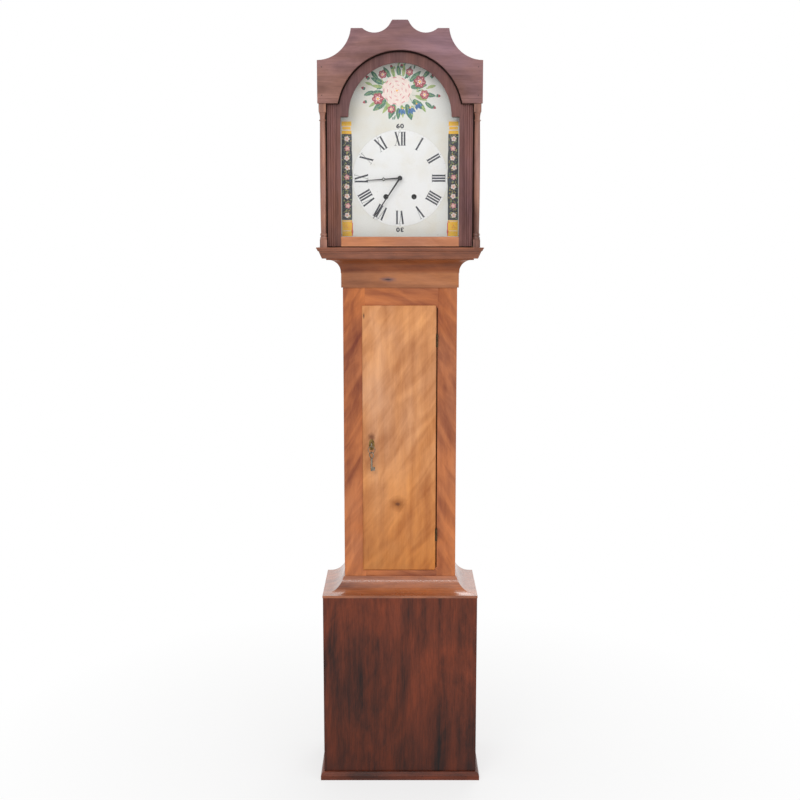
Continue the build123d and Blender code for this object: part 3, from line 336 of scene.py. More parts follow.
# Woods: dark and light ends of each tone, how much each pattern moves it, roughness and coat
woodLooks = {
    "base": {"dark": linear(26, 12, 10), "light": linear(136, 64, 36), "streak": 0.5, "rings": 0.14,
             "rays": 0.1, "blotch": 0.66, "pores": 0.3, "rough": (0.34, 0.5), "coat": 0.06},
    "moulding": {"dark": linear(112, 54, 26), "light": linear(206, 126, 76), "streak": 0.55, "rings": 0.2,
                 "rays": 0.1, "blotch": 0.4, "pores": 0.15, "rough": (0.24, 0.4), "coat": 1.0},
    "hoodMoulding": {"dark": linear(78, 36, 20), "light": linear(170, 104, 72), "streak": 0.55, "rings": 0.2,
                     "rays": 0.1, "blotch": 0.4, "pores": 0.15, "rough": (0.25, 0.42), "coat": 0.6},
    "trunk": {"dark": linear(112, 48, 28), "light": linear(208, 130, 78), "streak": 0.22, "rings": 0.14,
              "rays": 0.36, "blotch": 0.6, "pores": 0.08, "rough": (0.32, 0.48), "coat": 0.2},
    "throat": {"dark": linear(116, 60, 30), "light": linear(206, 132, 84), "streak": 0.4, "rings": 0.3,
               "rays": 0.12, "blotch": 0.4, "pores": 0.1, "rough": (0.32, 0.48), "coat": 0.25},
    "door": {"dark": linear(150, 84, 34), "light": linear(234, 172, 112), "streak": 0.2, "rings": 0.14,
             "rays": 0.25, "blotch": 0.5, "pores": 0.06, "rough": (0.32, 0.5), "coat": 0.2},
    "hood": {"dark": linear(72, 42, 38), "light": linear(146, 100, 92), "streak": 0.55, "rings": 0.1,
             "rays": 0.06, "blotch": 0.4, "pores": 0.2, "rough": (0.42, 0.62), "coat": 0.06},
    "crest": {"dark": linear(80, 50, 49), "light": linear(164, 124, 122), "streak": 0.35, "rings": 0.12,
              "rays": 0.05, "blotch": 0.55, "pores": 0.15, "rough": (0.5, 0.7), "coat": 0.0},
    "turned": {"dark": linear(88, 52, 40), "light": linear(184, 132, 112), "streak": 0.8, "rings": 0.2,
               "rays": 0.1, "blotch": 0.4, "pores": 0.2, "rough": (0.26, 0.44), "coat": 0.4},
    "rail": {"dark": linear(156, 90, 54), "light": linear(238, 170, 126), "streak": 0.4, "rings": 0.2,
             "rays": 0.1, "blotch": 0.3, "pores": 0.1, "rough": (0.3, 0.46), "coat": 0.25},
    "plain": {"dark": linear(112, 80, 54), "light": linear(176, 142, 104), "streak": 0.6, "rings": 0.4,
              "rays": 0.0, "blotch": 0.4, "pores": 0.3, "rough": (0.62, 0.85), "coat": 0.0},
    "mask": {"dark": linear(44, 28, 23), "light": linear(80, 54, 44), "streak": 0.5, "rings": 0.2,
             "rays": 0.0, "blotch": 0.3, "pores": 0.2, "rough": (0.5, 0.7), "coat": 0.0},
}
grainTurns = {"up": (0, 0, 0), "across": (0, math.radians(90), 0), "deep": (math.radians(90), 0, 0)}
random.seed(11)


def heightTint(tree, colour, lowZ, highZ, lowTint, highTint):
    # multiplies the colour by a tint that runs with height, from lowTint at lowZ to highTint at highZ
    height = axisOf(tree, objectVector(tree), "Z")
    tint = mixColour(tree, ramp(tree, height, lowZ, highZ), lowTint, highTint)
    return mixColour(tree, 1.0, colour, tint, "MULTIPLY")


def woodMaterial(name, look, grain, spots=(), tint=None, figure=(60, 60)):
    # figure: how far the cross figure slants at the left and at the right of the clock, in degrees
    setting = woodLooks[look]
    material, tree, surface = startMaterial(name)
    shift = tuple(random.uniform(-3, 3) for _ in range(3))
    vector = objectVector(tree, shift, grainTurns[grain])
    board = tree.nodes.new("ShaderNodeGroup")
    board.node_tree = boardGrain
    tree.links.new(vector, board.inputs["Vector"])
    board.inputs["Dark"].default_value = setting["dark"]
    board.inputs["Light"].default_value = setting["light"]
    for label in ("Streak", "Rings", "Rays", "Blotch", "Pores"):
        board.inputs[label].default_value = setting[label.lower()]
    left, right = (math.radians(degrees) for degrees in figure)
    across = axisOf(tree, objectVector(tree), "X")
    tree.links.new(ramp(tree, across, -50 * mm, 50 * mm, left, right), board.inputs["Figure"])
    colour = darkSpots(tree, board.outputs["Color"], spots)
    if tint:
        colour = heightTint(tree, colour, *tint)
    tree.links.new(colour, surface.inputs["Base Color"])
    low, high = setting["rough"]
    tree.links.new(ramp(tree, board.outputs["Wear"], 0.3, 0.7, low, high), surface.inputs["Roughness"])
    surface.inputs["Coat Weight"].default_value = setting["coat"]
    surface.inputs["Coat Roughness"].default_value = 0.18
    surface.inputs["Specular IOR Level"].default_value = 0.28
    setBump(tree, surface, board.outputs["Height"], 0.35, 0.0004)
    return material


def finishNodes(material, *names):
    for name in names:
        nodes[name].data.materials.clear()
        nodes[name].data.materials.append(material)


darkMark = linear(38, 22, 16)
plateLow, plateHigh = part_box("escutcheon")
plateX = (plateLow.x + plateHigh.x) / 2
knotWood, knotHeart = linear(156, 94, 42), linear(92, 50, 26)
darkPatchAbovePlate, friezeMark = linear(112, 62, 32), linear(112, 80, 80)
# material, look, grain direction, nodes, and any spots, tint by height or slant of the figure
woodPieces = (
    ("baseFrontWood", "base", "up", ("base_front_panel",),
     {"tint": (0.02, 0.55, (0.6, 0.56, 0.6, 1), (1.12, 1.06, 1.0, 1))}),
    ("baseSideWood", "base", "up", ("base_carcase",), {}),
    ("plinthWood", "base", "across", ("base_plinth_strip",), {}),
    ("shoulderWood", "moulding", "across", ("shoulder_moulding",), {}),
    # the throat is darker and more orange above z 1.366: partly its own tone, partly painted shade under the
    # hood's base moulding
    ("throatWood", "throat", "across", ("throat_moulding",),
     {"spots": ((-0.031, 1.343, 0.024, 0.007, friezeMark), (-0.031, 1.343, 0.009, 0.0022, darkMark)),
      "tint": (1.359, 1.366, (0.86, 0.94, 1.05, 1), (0.68, 0.56, 0.44, 1))}),
    ("hoodMouldingWood", "hoodMoulding", "across", ("hood_base_moulding", "hood_base_frame"), {}),
    ("stileWood", "trunk", "up", ("trunk_stiles",), {"figure": (62, -62)}),
    ("railWood", "trunk", "across", ("trunk_rails",), {"figure": (75, 75)}),
    ("cheekWood", "trunk", "up", ("trunk_sides",), {}),
    ("trunkDoorWood", "door", "up", ("trunk_door",),
     {"spots": ((-0.006, 0.749, 0.026, 0.022, knotWood), (-0.006, 0.749, 0.008, 0.006, knotHeart),
                (plateX, plateHigh.z + 4 * mm, 0.011, 0.013, darkPatchAbovePlate),
                (-0.094, 1.249, 0.0025, 0.009, darkMark)),
      "tint": (0.58, 0.94, (0.92, 0.74, 0.42, 1), (1.0, 1.0, 1.14, 1)), "figure": (56, 56)}),
    ("crestWood", "crest", "across", ("crest_board",), {}),
    ("hoodSideWood", "hood", "up", ("hood_sides",), {}),
    ("hoodStileWood", "hood", "up", ("hood_door_stiles",), {}),
    # the arch ring is darkened, a little more towards its foot: painted shade of the ring set back behind
    # the crest board
    ("hoodArchWood", "hood", "up", ("hood_door_arch",),
     {"tint": (1.7, 2.0, (0.86, 0.86, 0.86, 1), (0.94, 0.9, 0.88, 1))}),
    ("columnWood", "turned", "up", ("hood_columns",), {}),
    ("doorRailWood", "rail", "across", ("hood_door_bottom_rail",), {}),
    ("backWood", "plain", "up", ("backboard",), {}),
    ("seatWood", "plain", "across", ("seatboard",), {}),
    ("roofWood", "plain", "deep", ("hood_roof",), {}),
    ("maskWood", "mask", "up", ("hood_mask",), {}),
)
for name, look, grain, pieces, extras in woodPieces:
    finishNodes(woodMaterial(name, look, grain, **extras), *pieces)
print("woods done")

# Metals
metalLooks = {
    "brass": {"clean": linear(196, 158, 88), "aged": linear(120, 88, 46),
              "rough": (0.24, 0.46), "scale": 60},
    "fittings": {"clean": linear(150, 122, 74), "aged": linear(70, 52, 32),
                 "rough": (0.32, 0.58), "scale": 120},
    "bell": {"clean": linear(206, 184, 140), "aged": linear(150, 128, 88),
             "rough": (0.16, 0.3), "scale": 40},
    "steel": {"clean": linear(176, 174, 170), "aged": linear(98, 90, 84),
              "rough": (0.24, 0.45), "scale": 90},
    "blued": {"clean": linear(34, 33, 38), "aged": linear(62, 52, 46),
              "rough": (0.28, 0.5), "scale": 200},
    "keySteel": {"clean": linear(142, 132, 118), "aged": linear(78, 64, 50),
                 "rough": (0.26, 0.5), "scale": 160},
    "hinge": {"clean": linear(84, 68, 50), "aged": linear(40, 32, 26),
              "rough": (0.4, 0.65), "scale": 150},
    "iron": {"clean": linear(52, 50, 50), "aged": linear(84, 66, 56),
             "rough": (0.55, 0.8), "scale": 70},
}


def metalMaterial(name, look, metallic=1.0, amount=0.7, steelAndShadeFront=None):
    # whatever is nearer the front than the given y is coloured as blackened steel: the steel arbor ends, and
    # painted shade on the brass in the dark space behind the dial, seen through the winding holes
    setting = metalLooks[look]
    material, tree, surface = startMaterial(name)
    aged = tree.nodes.new("ShaderNodeGroup")
    aged.node_tree = agedSurface
    tree.links.new(objectVector(tree), aged.inputs["Vector"])
    aged.inputs["Scale"].default_value = setting["scale"]
    aged.inputs["Amount"].default_value = amount
    colour = mixColour(tree, aged.outputs["Mask"], setting["clean"], setting["aged"])
    if steelAndShadeFront is not None:
        depth = axisOf(tree, objectVector(tree), "Y")
        front = ramp(tree, depth, steelAndShadeFront - 0.2 * mm, steelAndShadeFront + 0.2 * mm, 1.0, 0.0)
        colour = mixColour(tree, front, colour, metalLooks["blued"]["clean"])
    tree.links.new(colour, surface.inputs["Base Color"])
    low, high = setting["rough"]
    tree.links.new(ramp(tree, aged.outputs["Mask"], 0, 0.7, low, high), surface.inputs["Roughness"])
    surface.inputs["Metallic"].default_value = metallic
    setBump(tree, surface, aged.outputs["Height"], 0.2, 0.0002)
    return material


brass = metalMaterial("agedBrass", "brass")
fittingBrass = metalMaterial("fittingBrass", "fittings")
bluedSteel = metalMaterial("bluedSteel", "blued", 0.7)
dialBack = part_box("dial")[1].y
dialToPlate = 24 * mm    # from the dial's back to the front plate of the movement
plateFront = dialBack + dialToPlate
metalPieces = (
    (brass, ("back_cock", "minute_arbor", "third_wheel", "escape_wheel", "going_great_wheel", "going_sheave",
             "strike_great_wheel", "strike_sheave", "pin_wheel", "fly", "pendulum_bob")),
    # wheels, drums and plate faces in front of the movement: steel arbor ends, and painted shade behind the
    # dial seen through the winding holes
    (metalMaterial("steelAndShadeEndedBrass", "brass", steelAndShadeFront=plateFront),
     ("cannon_wheel", "hour_wheel", "going_drum", "strike_drum")),
    (metalMaterial("plateBrassShadedFront", "brass", steelAndShadeFront=plateFront + 0.5 * mm), ("movement_plates",)),
    (fittingBrass, ("escutcheon",)),
    (metalMaterial("darkHinges", "hinge"),
     ("trunk_hinge_frame_leaves", "trunk_hinge_door_leaves", "hood_door_straps")),
    (metalMaterial("bellMetal", "bell"), ("bell",)),
    (metalMaterial("wornSteel", "steel"), ("lock_case", "lock_bolt", "hammer", "pallets", "pendulum_rod")),
    (metalMaterial("handledSteel", "keySteel"), ("key", "key_ring")),
    (bluedSteel, ("minute_hand", "hour_hand")),
    (metalMaterial("castIron", "iron", 0.5), ("going_weight", "strike_weight")),
)
for material, pieces in metalPieces:
    finishNodes(material, *pieces)

glassLook = {"alpha": 0.028, "roughness": 0.03, "colour": linear(226, 236, 232)}
material, tree, surface = startMaterial("doorGlass")
streaks = noise(tree, objectVector(tree), 9, 3, 0.5)
tree.links.new(ramp(tree, streaks, 0.3, 0.7, glassLook["roughness"], 0.09), surface.inputs["Roughness"])
tree.links.new(mixColour(tree, ramp(tree, streaks, 0.35, 0.7), glassLook["colour"], (1, 1, 1, 1)),
               surface.inputs["Base Color"])
tree.links.new(ramp(tree, streaks, 0.3, 0.75, glassLook["alpha"] * 0.7, glassLook["alpha"]),
               surface.inputs["Alpha"])
finishNodes(material, "hood_door_glass")
print("metals and glass done")

# Dial ground: aged cream paint, a whiter chapter ring, fine crazing and rubbed places
handCentre = Vector(joints["minute_hand_turn"]["pos_m"])
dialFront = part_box("dial")[0].y
dialLook = {"cream": linear(226, 226, 221), "white": linear(235, 235, 234), "warm": linear(220, 213, 194),
            "craze": linear(176, 160, 130), "grime": linear(168, 160, 142), "ringRadius": 121.5 * mm,
            "splitLow": 205 * mm}
material, tree, surface = startMaterial("dialGround")
local = objectVector(tree, (0, 0, -handCentre.z))
distance = lengthOf(tree, stretched(tree, local, (1, 0, 1)))
ringRadius = dialLook["ringRadius"]
ringEdge = ramp(tree, distance, ringRadius - 1 * mm, ringRadius + 1 * mm, 1.0, 0.0)
ground = mixColour(tree, ramp(tree, noise(tree, local, 16, 4), 0.42, 0.72, 0, 0.75), dialLook["cream"],
                   dialLook["warm"])
ringWhite = mixColour(tree, ramp(tree, noise(tree, local, 22, 4), 0.5, 0.8, 0, 0.45), dialLook["white"],
                      dialLook["warm"])
ground = mixColour(tree, ringEdge, ground, ringWhite)
rimLine = mathNode(tree, "SUBTRACT", ramp(tree, distance, ringRadius - 0.7 * mm, ringRadius + 0.1 * mm),
                   ramp(tree, distance, ringRadius + 0.1 * mm, ringRadius + 1.1 * mm))
ground = mixColour(tree, mathNode(tree, "MULTIPLY", rimLine, 0.35), ground, dialLook["grime"])
cracks = tree.nodes.new("ShaderNodeTexVoronoi")
cracks.feature = "DISTANCE_TO_EDGE"
tree.links.new(local, cracks.inputs["Vector"])
cracks.inputs["Scale"].default_value = 210
crackLine = ramp(tree, cracks.outputs["Distance"], 0.0, 0.05, 1.0, 0.0)
crackPatch = ramp(tree, noise(tree, local, 9, 3), 0.45, 0.7)
crackMask = mathNode(tree, "MULTIPLY", crackLine, mathNode(tree, "MULTIPLY", crackPatch, 0.42))
ground = mixColour(tree, crackMask, ground, dialLook["craze"])
splitVector = objectVector(tree, (0, 0, 0), (0, 0, 0), (1, 0.01, 0.18))
splitNoise = noise(tree, splitVector, 30, 3)
sway = mathNode(tree, "MULTIPLY", mathNode(tree, "SUBTRACT", splitNoise, 0.5), 6 * mm)
splitPlace = mathNode(tree, "ABSOLUTE", mathNode(tree, "ADD", axisOf(tree, local, "X"), sway))
split = mathNode(tree, "MULTIPLY", ramp(tree, splitPlace, 0.2 * mm, 0.7 * mm, 1.0, 0.0),
                 ramp(tree, axisOf(tree, local, "Z"), dialLook["splitLow"], dialLook["splitLow"] + 10 * mm))
ground = mixColour(tree, mathNode(tree, "MULTIPLY", split, 0.6), ground, dialLook["grime"])
flecks = ramp(tree, noise(tree, local, 130, 2), 0.70, 0.735)
ground = mixColour(tree, mathNode(tree, "MULTIPLY", flecks, 0.35), ground, dialLook["grime"])
tree.links.new(ground, surface.inputs["Base Color"])
tree.links.new(ramp(tree, crackPatch, 0, 1, 0.32, 0.5), surface.inputs["Roughness"])
setBump(tree, surface, mathNode(tree, "SUBTRACT", 1.0, crackLine), 0.12, 0.0001)
finishNodes(material, "dial")


# Painted work on the dial, laid in thin layers of real relief
def paintMaterial(name, colour, second, scale=220):
    material, tree, surface = startMaterial(name)
    vector = objectVector(tree)
    brush = noise(tree, stretched(tree, vector, (1, 1, 0.4)), scale, 3)
    worn = ramp(tree, noise(tree, vector, 380, 2), 0.62, 0.7)
    mixed = mixColour(tree, ramp(tree, brush, 0.35, 0.65), colour, second)
    mixed = mixColour(tree, mathNode(tree, "MULTIPLY", worn, 0.3), mixed, dialLook["cream"])
    tree.links.new(mixed, surface.inputs["Base Color"])
    tree.links.new(ramp(tree, brush, 0.3, 0.7, 0.34, 0.5), surface.inputs["Roughness"])
    setBump(tree, surface, brush, 0.1, 0.0001)
    return material


paints = {
    "ink": paintMaterial("numeralInk", linear(22, 22, 36), linear(44, 44, 60)),
    "shaft": paintMaterial("columnInk", linear(10, 12, 26), linear(26, 32, 46)),
    "magenta": paintMaterial("magentaPaint", linear(142, 34, 54), linear(176, 70, 84)),
    "rose": paintMaterial("rosePaint", linear(240, 216, 208), linear(246, 232, 222)),
    "blush": paintMaterial("blushPaint", linear(214, 128, 136), linear(230, 168, 166)),
    "petal": paintMaterial("petalPaint", linear(242, 232, 220), linear(238, 208, 200)),
    "leaf": paintMaterial("leafPaint", linear(34, 92, 78), linear(86, 140, 104)),
    "leafPale": paintMaterial("paleLeafPaint", linear(122, 158, 92), linear(178, 190, 116)),
    "blue": paintMaterial("bluePaint", linear(30, 78, 136), linear(76, 128, 178)),
    "yellow": paintMaterial("yellowPaint", linear(255, 184, 0), linear(252, 204, 30)),
    "gold": paintMaterial("goldPaint", linear(168, 140, 60), linear(206, 182, 104)),
    "red": paintMaterial("redPaint", linear(204, 50, 26), linear(216, 86, 50)),
    # painted shade round the winding holes
    "holeRimShade": bluedSteel,
}
layerStep = 0.12 * mm


def frontTurn(degrees):
    # counterclockwise as seen from the front
    return Matrix.Rotation(-math.radians(degrees), 4, "Y")


def dab(mesh, x, z, length, width, angle=0.0, layer=0, tip=0.0):
    # one brush mark: a flat lens, drawn to a point at its outer end when tip is above 0
    made = bmesh.ops.create_icosphere(mesh, subdivisions=2, radius=1.0)["verts"]
    for vert in made:
        if tip and vert.co.x > 0:
            vert.co.z *= 1 - tip * vert.co.x ** 2
    thickness = layerStep * 1.6
    shape = Matrix.Diagonal((length / 2, thickness / 2, width / 2, 1))
    spot = Matrix.Translation((x, dialFront - layerStep * (layer + 0.3), z))
    bmesh.ops.transform(mesh, verts=made, matrix=spot @ frontTurn(angle) @ shape)


def bar(mesh, x, z, length, width, angle=0.0, layer=0):
    # a straight stroke with square ends
    made = bmesh.ops.create_cube(mesh, size=1.0)["verts"]
    shape = Matrix.Diagonal((length, layerStep, width, 1))
    spot = Matrix.Translation((x, dialFront - layerStep * (layer + 0.5), z))
    bmesh.ops.transform(mesh, verts=made, matrix=spot @ frontTurn(angle) @ shape)


def polar(x, z, distance, angle):
    return x + distance * math.cos(math.radians(angle)), z + distance * math.sin(math.radians(angle))


def leaf(mesh, x, z, length, width, angle, layer=0):
    centreX, centreZ = polar(x, z, length / 2, angle)
    dab(mesh, centreX, centreZ, length, width, angle, layer, tip=0.75)


def petals(mesh, x, z, count, distance, length, width, turn=0.0, layer=0):
    for index in range(count):
        angle = turn + index * 360 / count
        petalX, petalZ = polar(x, z, distance, angle)
        dab(mesh, petalX, petalZ, length, width, angle, layer)


def newPiece(name, mesh, material):
    # a made mesh becomes an object of the scene
    data = bpy.data.meshes.new(name)
    bmesh.ops.recalc_face_normals(mesh, faces=mesh.faces)
    mesh.to_mesh(data)
    mesh.free()
    data.materials.append(material)
    piece = bpy.data.objects.new(name, data)
    scene.collection.objects.link(piece)
    return piece


def paintedPiece(name, mesh, paint):
    piece = newPiece(name, mesh, paints[paint])
    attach(piece, "case")


# Hour numerals: thick and thin strokes with small serifs, feet towards the centre
numeralLook = {"inner": 82 * mm, "outer": 115.5 * mm, "thick": 4.3 * mm, "thin": 0.9 * mm, "gap": 2.4 * mm}
numeralMesh = bmesh.new()
strokeWidths = {"I": numeralLook["thick"], "V": 13.0 * mm, "X": 14.0 * mm}
numeralHeight = numeralLook["outer"] - numeralLook["inner"]
numeralMiddle = (numeralLook["outer"] + numeralLook["inner"]) / 2
romanHours = ("XII", "I", "II", "III", "IIII", "V", "VI", "VII", "VIII", "IX", "X", "XI")


def placeStroke(alongX, alongZ, length, width, lean, hourAngle):
    # alongX is across the numeral and alongZ up it, from the ring's middle
    angle = math.radians(hourAngle)
    out = numeralMiddle + alongZ
    x = alongX * math.cos(angle) + out * math.sin(angle)
    z = -alongX * math.sin(angle) + out * math.cos(angle)
    bar(numeralMesh, x, handCentre.z + z, length, width, 90 - hourAngle + lean, 0)


def drawLetter(letter, alongX, hourAngle):
    width = strokeWidths[letter]
    half = numeralHeight / 2
    serif = numeralLook["thin"]
    if letter == "I":
        placeStroke(alongX, 0, numeralHeight, numeralLook["thick"], 0, hourAngle)
        for end in (-half, half):
            placeStroke(alongX, end, numeralLook["thick"] * 1.75, serif, 90, hourAngle)
        return
    lean = math.degrees(math.atan2(width - numeralLook["thick"], numeralHeight))
    slant = math.hypot(width - numeralLook["thick"], numeralHeight)
    side = (width - numeralLook["thick"]) / 2
    if letter == "X":
        placeStroke(alongX, 0, slant, numeralLook["thick"], lean, hourAngle)
        placeStroke(alongX, 0, slant, numeralLook["thin"], -lean, hourAngle)
        ends = ((-side, half), (side, half), (-side, -half), (side, -half))
    else:
        lean /= 2
        placeStroke(alongX - side / 2, 0, numeralHeight, numeralLook["thick"], lean, hourAngle)
        placeStroke(alongX + side / 2, 0, numeralHeight, numeralLook["thin"], -lean, hourAngle)
        ends = ((-side, half), (side, half))
    for endX, endZ in ends:
        placeStroke(alongX + endX, endZ, numeralLook["thick"] * 1.35, serif, 90, hourAngle)


for hour, letters in enumerate(romanHours):
    total = sum(strokeWidths[letter] for letter in letters) + numeralLook["gap"] * (len(letters) - 1)
    across = -total / 2
    for letter in letters:
        drawLetter(letter, across + strokeWidths[letter] / 2, hour * 30)
        across += strokeWidths[letter] + numeralLook["gap"]
paintedPiece("hourNumerals", numeralMesh, "ink")

# Minute dots, heavier at the hours, and the two figures that are left of the minute numbers
minuteLook = {"radius": 119.2 * mm, "dot": 0.85 * mm, "hourDot": 1.5 * mm, "figureRadius": 129.5 * mm,
              "figureHeight": 12.0 * mm, "figureStretch": (1.136, 0.92), "figureBold": 0.7 * mm}
minuteMesh = bmesh.new()
for minute in range(60):
    dotX, dotZ = polar(0, handCentre.z, minuteLook["radius"], 90 - minute * 6)
    size = minuteLook["hourDot"] if minute % 5 == 0 else minuteLook["dot"]
    dab(minuteMesh, dotX, dotZ, size, size, 0, 0)
paintedPiece("minuteDots", minuteMesh, "ink")


def figureMesh(text, x, z, height, turn):
    curve = bpy.data.curves.new("minuteFigure", "FONT")
    curve.body = text
    curve.size = height * 1.35
    curve.extrude = layerStep / 2
    curve.offset = minuteLook["figureBold"]
    curve.space_character = 1.12
    curve.align_x = "CENTER"
    curve.align_y = "CENTER"
    curve.resolution_u = 4
    holder = bpy.data.objects.new("minuteFigure", curve)
    scene.collection.objects.link(holder)
    bpy.context.view_layer.update()
    data = bpy.data.meshes.new_from_object(holder.evaluated_get(bpy.context.evaluated_depsgraph_get()))
    bpy.data.objects.remove(holder)
    upright = Matrix.Rotation(math.radians(90), 4, "X")
    squeeze = Matrix.Diagonal((*minuteLook["figureStretch"], 1, 1))
    spot = Matrix.Translation((x, dialFront - layerStep * 0.6, z))
    data.transform(spot @ frontTurn(turn) @ upright @ squeeze)
    return data


for text, angle, turn in (("60", 90, 0), ("30", -90, 180)):
    figureX, figureZ = polar(0, handCentre.z, minuteLook["figureRadius"], angle)
    data = figureMesh(text, figureX, figureZ, minuteLook["figureHeight"], turn)
    data.materials.clear()
    data.materials.append(paints["ink"])
    piece = bpy.data.objects.new("minuteFigure" + text, data)
    scene.collection.objects.link(piece)
    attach(piece, "case")

# Small side ornaments of the ring, at nine and three
sprigLook = {"flower": (128.5 * mm, 4 * mm), "leafOut": 127.5 * mm,
             "leaves": ((-1 * mm, 8 * mm, 2.4 * mm, -90), (8 * mm, 7 * mm, 2.2 * mm, 90))}
sideMesh, sideGold = bmesh.new(), bmesh.new()
flowerOut, flowerUp = sprigLook["flower"]
for side in (-1, 1):
    petals(sideGold, side * flowerOut, handCentre.z + flowerUp, 4, 1.5 * mm, 2.6 * mm, 1.8 * mm, 45)
    for up, length, width, angle in sprigLook["leaves"]:
        leaf(sideMesh, side * sprigLook["leafOut"], handCentre.z + up, length, width, angle)
paintedPiece("ringSprigs", sideMesh, "blue")
paintedPiece("ringSprigCentres", sideGold, "gold")

# Dark rims round the two winding holes: painted shade that widens the dark of each hole
rimLook = {"inner": 5.4 * mm, "outer": 6.7 * mm}
rimMesh = bmesh.new()
for drumNode in ("going_drum", "strike_drum"):
    drumLow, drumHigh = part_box(drumNode)
    made = bmesh.ops.create_circle(rimMesh, segments=40, radius=rimLook["outer"])["verts"]
    ringEdges = [edge for edge in rimMesh.edges if edge.is_wire]
    grown = bmesh.ops.extrude_edge_only(rimMesh, edges=ringEdges)["geom"]
    inner = [part for part in grown if isinstance(part, bmesh.types.BMVert)]
    bmesh.ops.scale(rimMesh, vec=(rimLook["inner"] / rimLook["outer"],) * 2 + (1,), verts=inner)
    spot = Matrix.Translation(((drumLow.x + drumHigh.x) / 2, dialFront - layerStep * 0.5,
                               (drumLow.z + drumHigh.z) / 2))
    bmesh.ops.transform(rimMesh, verts=made + inner, matrix=spot @ Matrix.Rotation(math.radians(90), 4, "X"))
bmesh.ops.solidify(rimMesh, geom=rimMesh.faces[:], thickness=layerStep * 0.6)
paintedPiece("windingHoleShadeRims", rimMesh, "holeRimShade")
print("numerals done")

# Spray of flowers in the arch: an open pale rose, smaller dark blooms, bell flowers and leaves
spray = {
    "centre": (-8 * mm, 1818 * mm),
    "stems": ((-66, 1802, 38, 168), (-62, 1838, 38, 150), (62, 1846, 40, 32), (72, 1800, 40, 350),
              (-30, 1862, 30, 112), (30, 1866, 30, 70), (40, 1774, 36, 300), (-44, 1774, 36, 232)),
    "leaves": ((-34, 1794, 44, 17, 216), (-14, 1786, 42, 16, 250), (16, 1786, 44, 17, 288),
               (32, 1796, 42, 16, 322), (26, 1826, 44, 15, 8), (24, 1840, 40, 14, 42),
               (-38, 1834, 40, 14, 156), (-42, 1814, 36, 14, 186), (-24, 1848, 34, 13, 122),
               (-2, 1852, 30, 12, 96), (16, 1848, 34, 13, 68), (60, 1810, 32, 12, 350),
               (-66, 1816, 28, 11, 200), (58, 1850, 28, 11, 46), (-56, 1846, 28, 11, 130),
               (64, 1790, 26, 10, 318), (-4, 1776, 30, 12, 268), (36, 1842, 30, 11, 20)),
    "paleLeaves": ((-24, 1790, 36, 10, 234), (4, 1784, 34, 10, 276), (38, 1806, 34, 10, 338),
                   (-40, 1826, 34, 9, 172), (8, 1852, 30, 9, 84), (-14, 1850, 28, 9, 106),
                   (32, 1836, 32, 9, 30), (52, 1786, 26, 8, 302), (-58, 1792, 26, 8, 214),
                   (70, 1826, 22, 8, 12), (-70, 1832, 20, 7, 160), (26, 1776, 26, 8, 284)),
    "blooms": ((-56, 1798, 14.0), (50, 1840, 14.5), (-44, 1858, 10.0), (62, 1808, 11.0), (24, 1864, 9.0),
               (-22, 1772, 9.5)),
    "buds": ((-78, 1846, 6.5, 134), (-88, 1822, 6.0, 158), (78, 1850, 6.5, 44), (92, 1806, 6.0, 352),
             (4, 1874, 5.5, 84), (-84, 1792, 6.0, 200), (82, 1780, 6.0, 326), (-20, 1872, 5.4, 110)),
    "bells": ((6, 1774, 10.0, 262), (26, 1776, 10.5, 288), (42, 1786, 9.5, 306)),
    "small": {"count": 54, "near": 37, "far": 72, "length": (7, 14), "width": 3.6,
              "squash": 0.9},
}
leafMesh, paleLeafMesh, bloomMesh, roseMesh = bmesh.new(), bmesh.new(), bmesh.new(), bmesh.new()
blushMesh, budMesh, bellMesh, eyeMesh = bmesh.new(), bmesh.new(), bmesh.new(), bmesh.new()
for x, z, length, angle in spray["stems"]:
    startX, startZ = polar(x * mm, z * mm, length / 2 * mm, angle + 180)
    dab(leafMesh, startX, startZ, length * mm * 1.25, 1.1 * mm, angle, 0)
for x, z, length, width, angle in spray["leaves"]:
    leaf(leafMesh, x * mm, z * mm, length * mm, width * mm, angle, 0)
    veinX, veinZ = polar(x * mm, z * mm, length * 0.45 * mm, angle)
    dab(paleLeafMesh, veinX, veinZ, length * 0.7 * mm, 1.1 * mm, angle, 1)
for x, z, length, width, angle in spray["paleLeaves"]:
    leaf(paleLeafMesh, x * mm, z * mm, length * mm, width * mm, angle, 0)
roseX, roseZ = spray["centre"]
random.seed(9)
small = spray["small"]
for index in range(small["count"]):
    angle = random.uniform(0, 360)
    reach = random.uniform(small["near"], small["far"])
    smallX, smallZ = polar(roseX + 10 * mm, roseZ - 4 * mm, reach * mm, angle)
    target = (leafMesh, paleLeafMesh, paleLeafMesh)[index % 3]
    length = random.uniform(*small["length"]) * mm
    leaf(target, smallX, roseZ + (smallZ - roseZ) * small["squash"], length, small["width"] * mm,
         angle + random.uniform(-50, 50), 0)
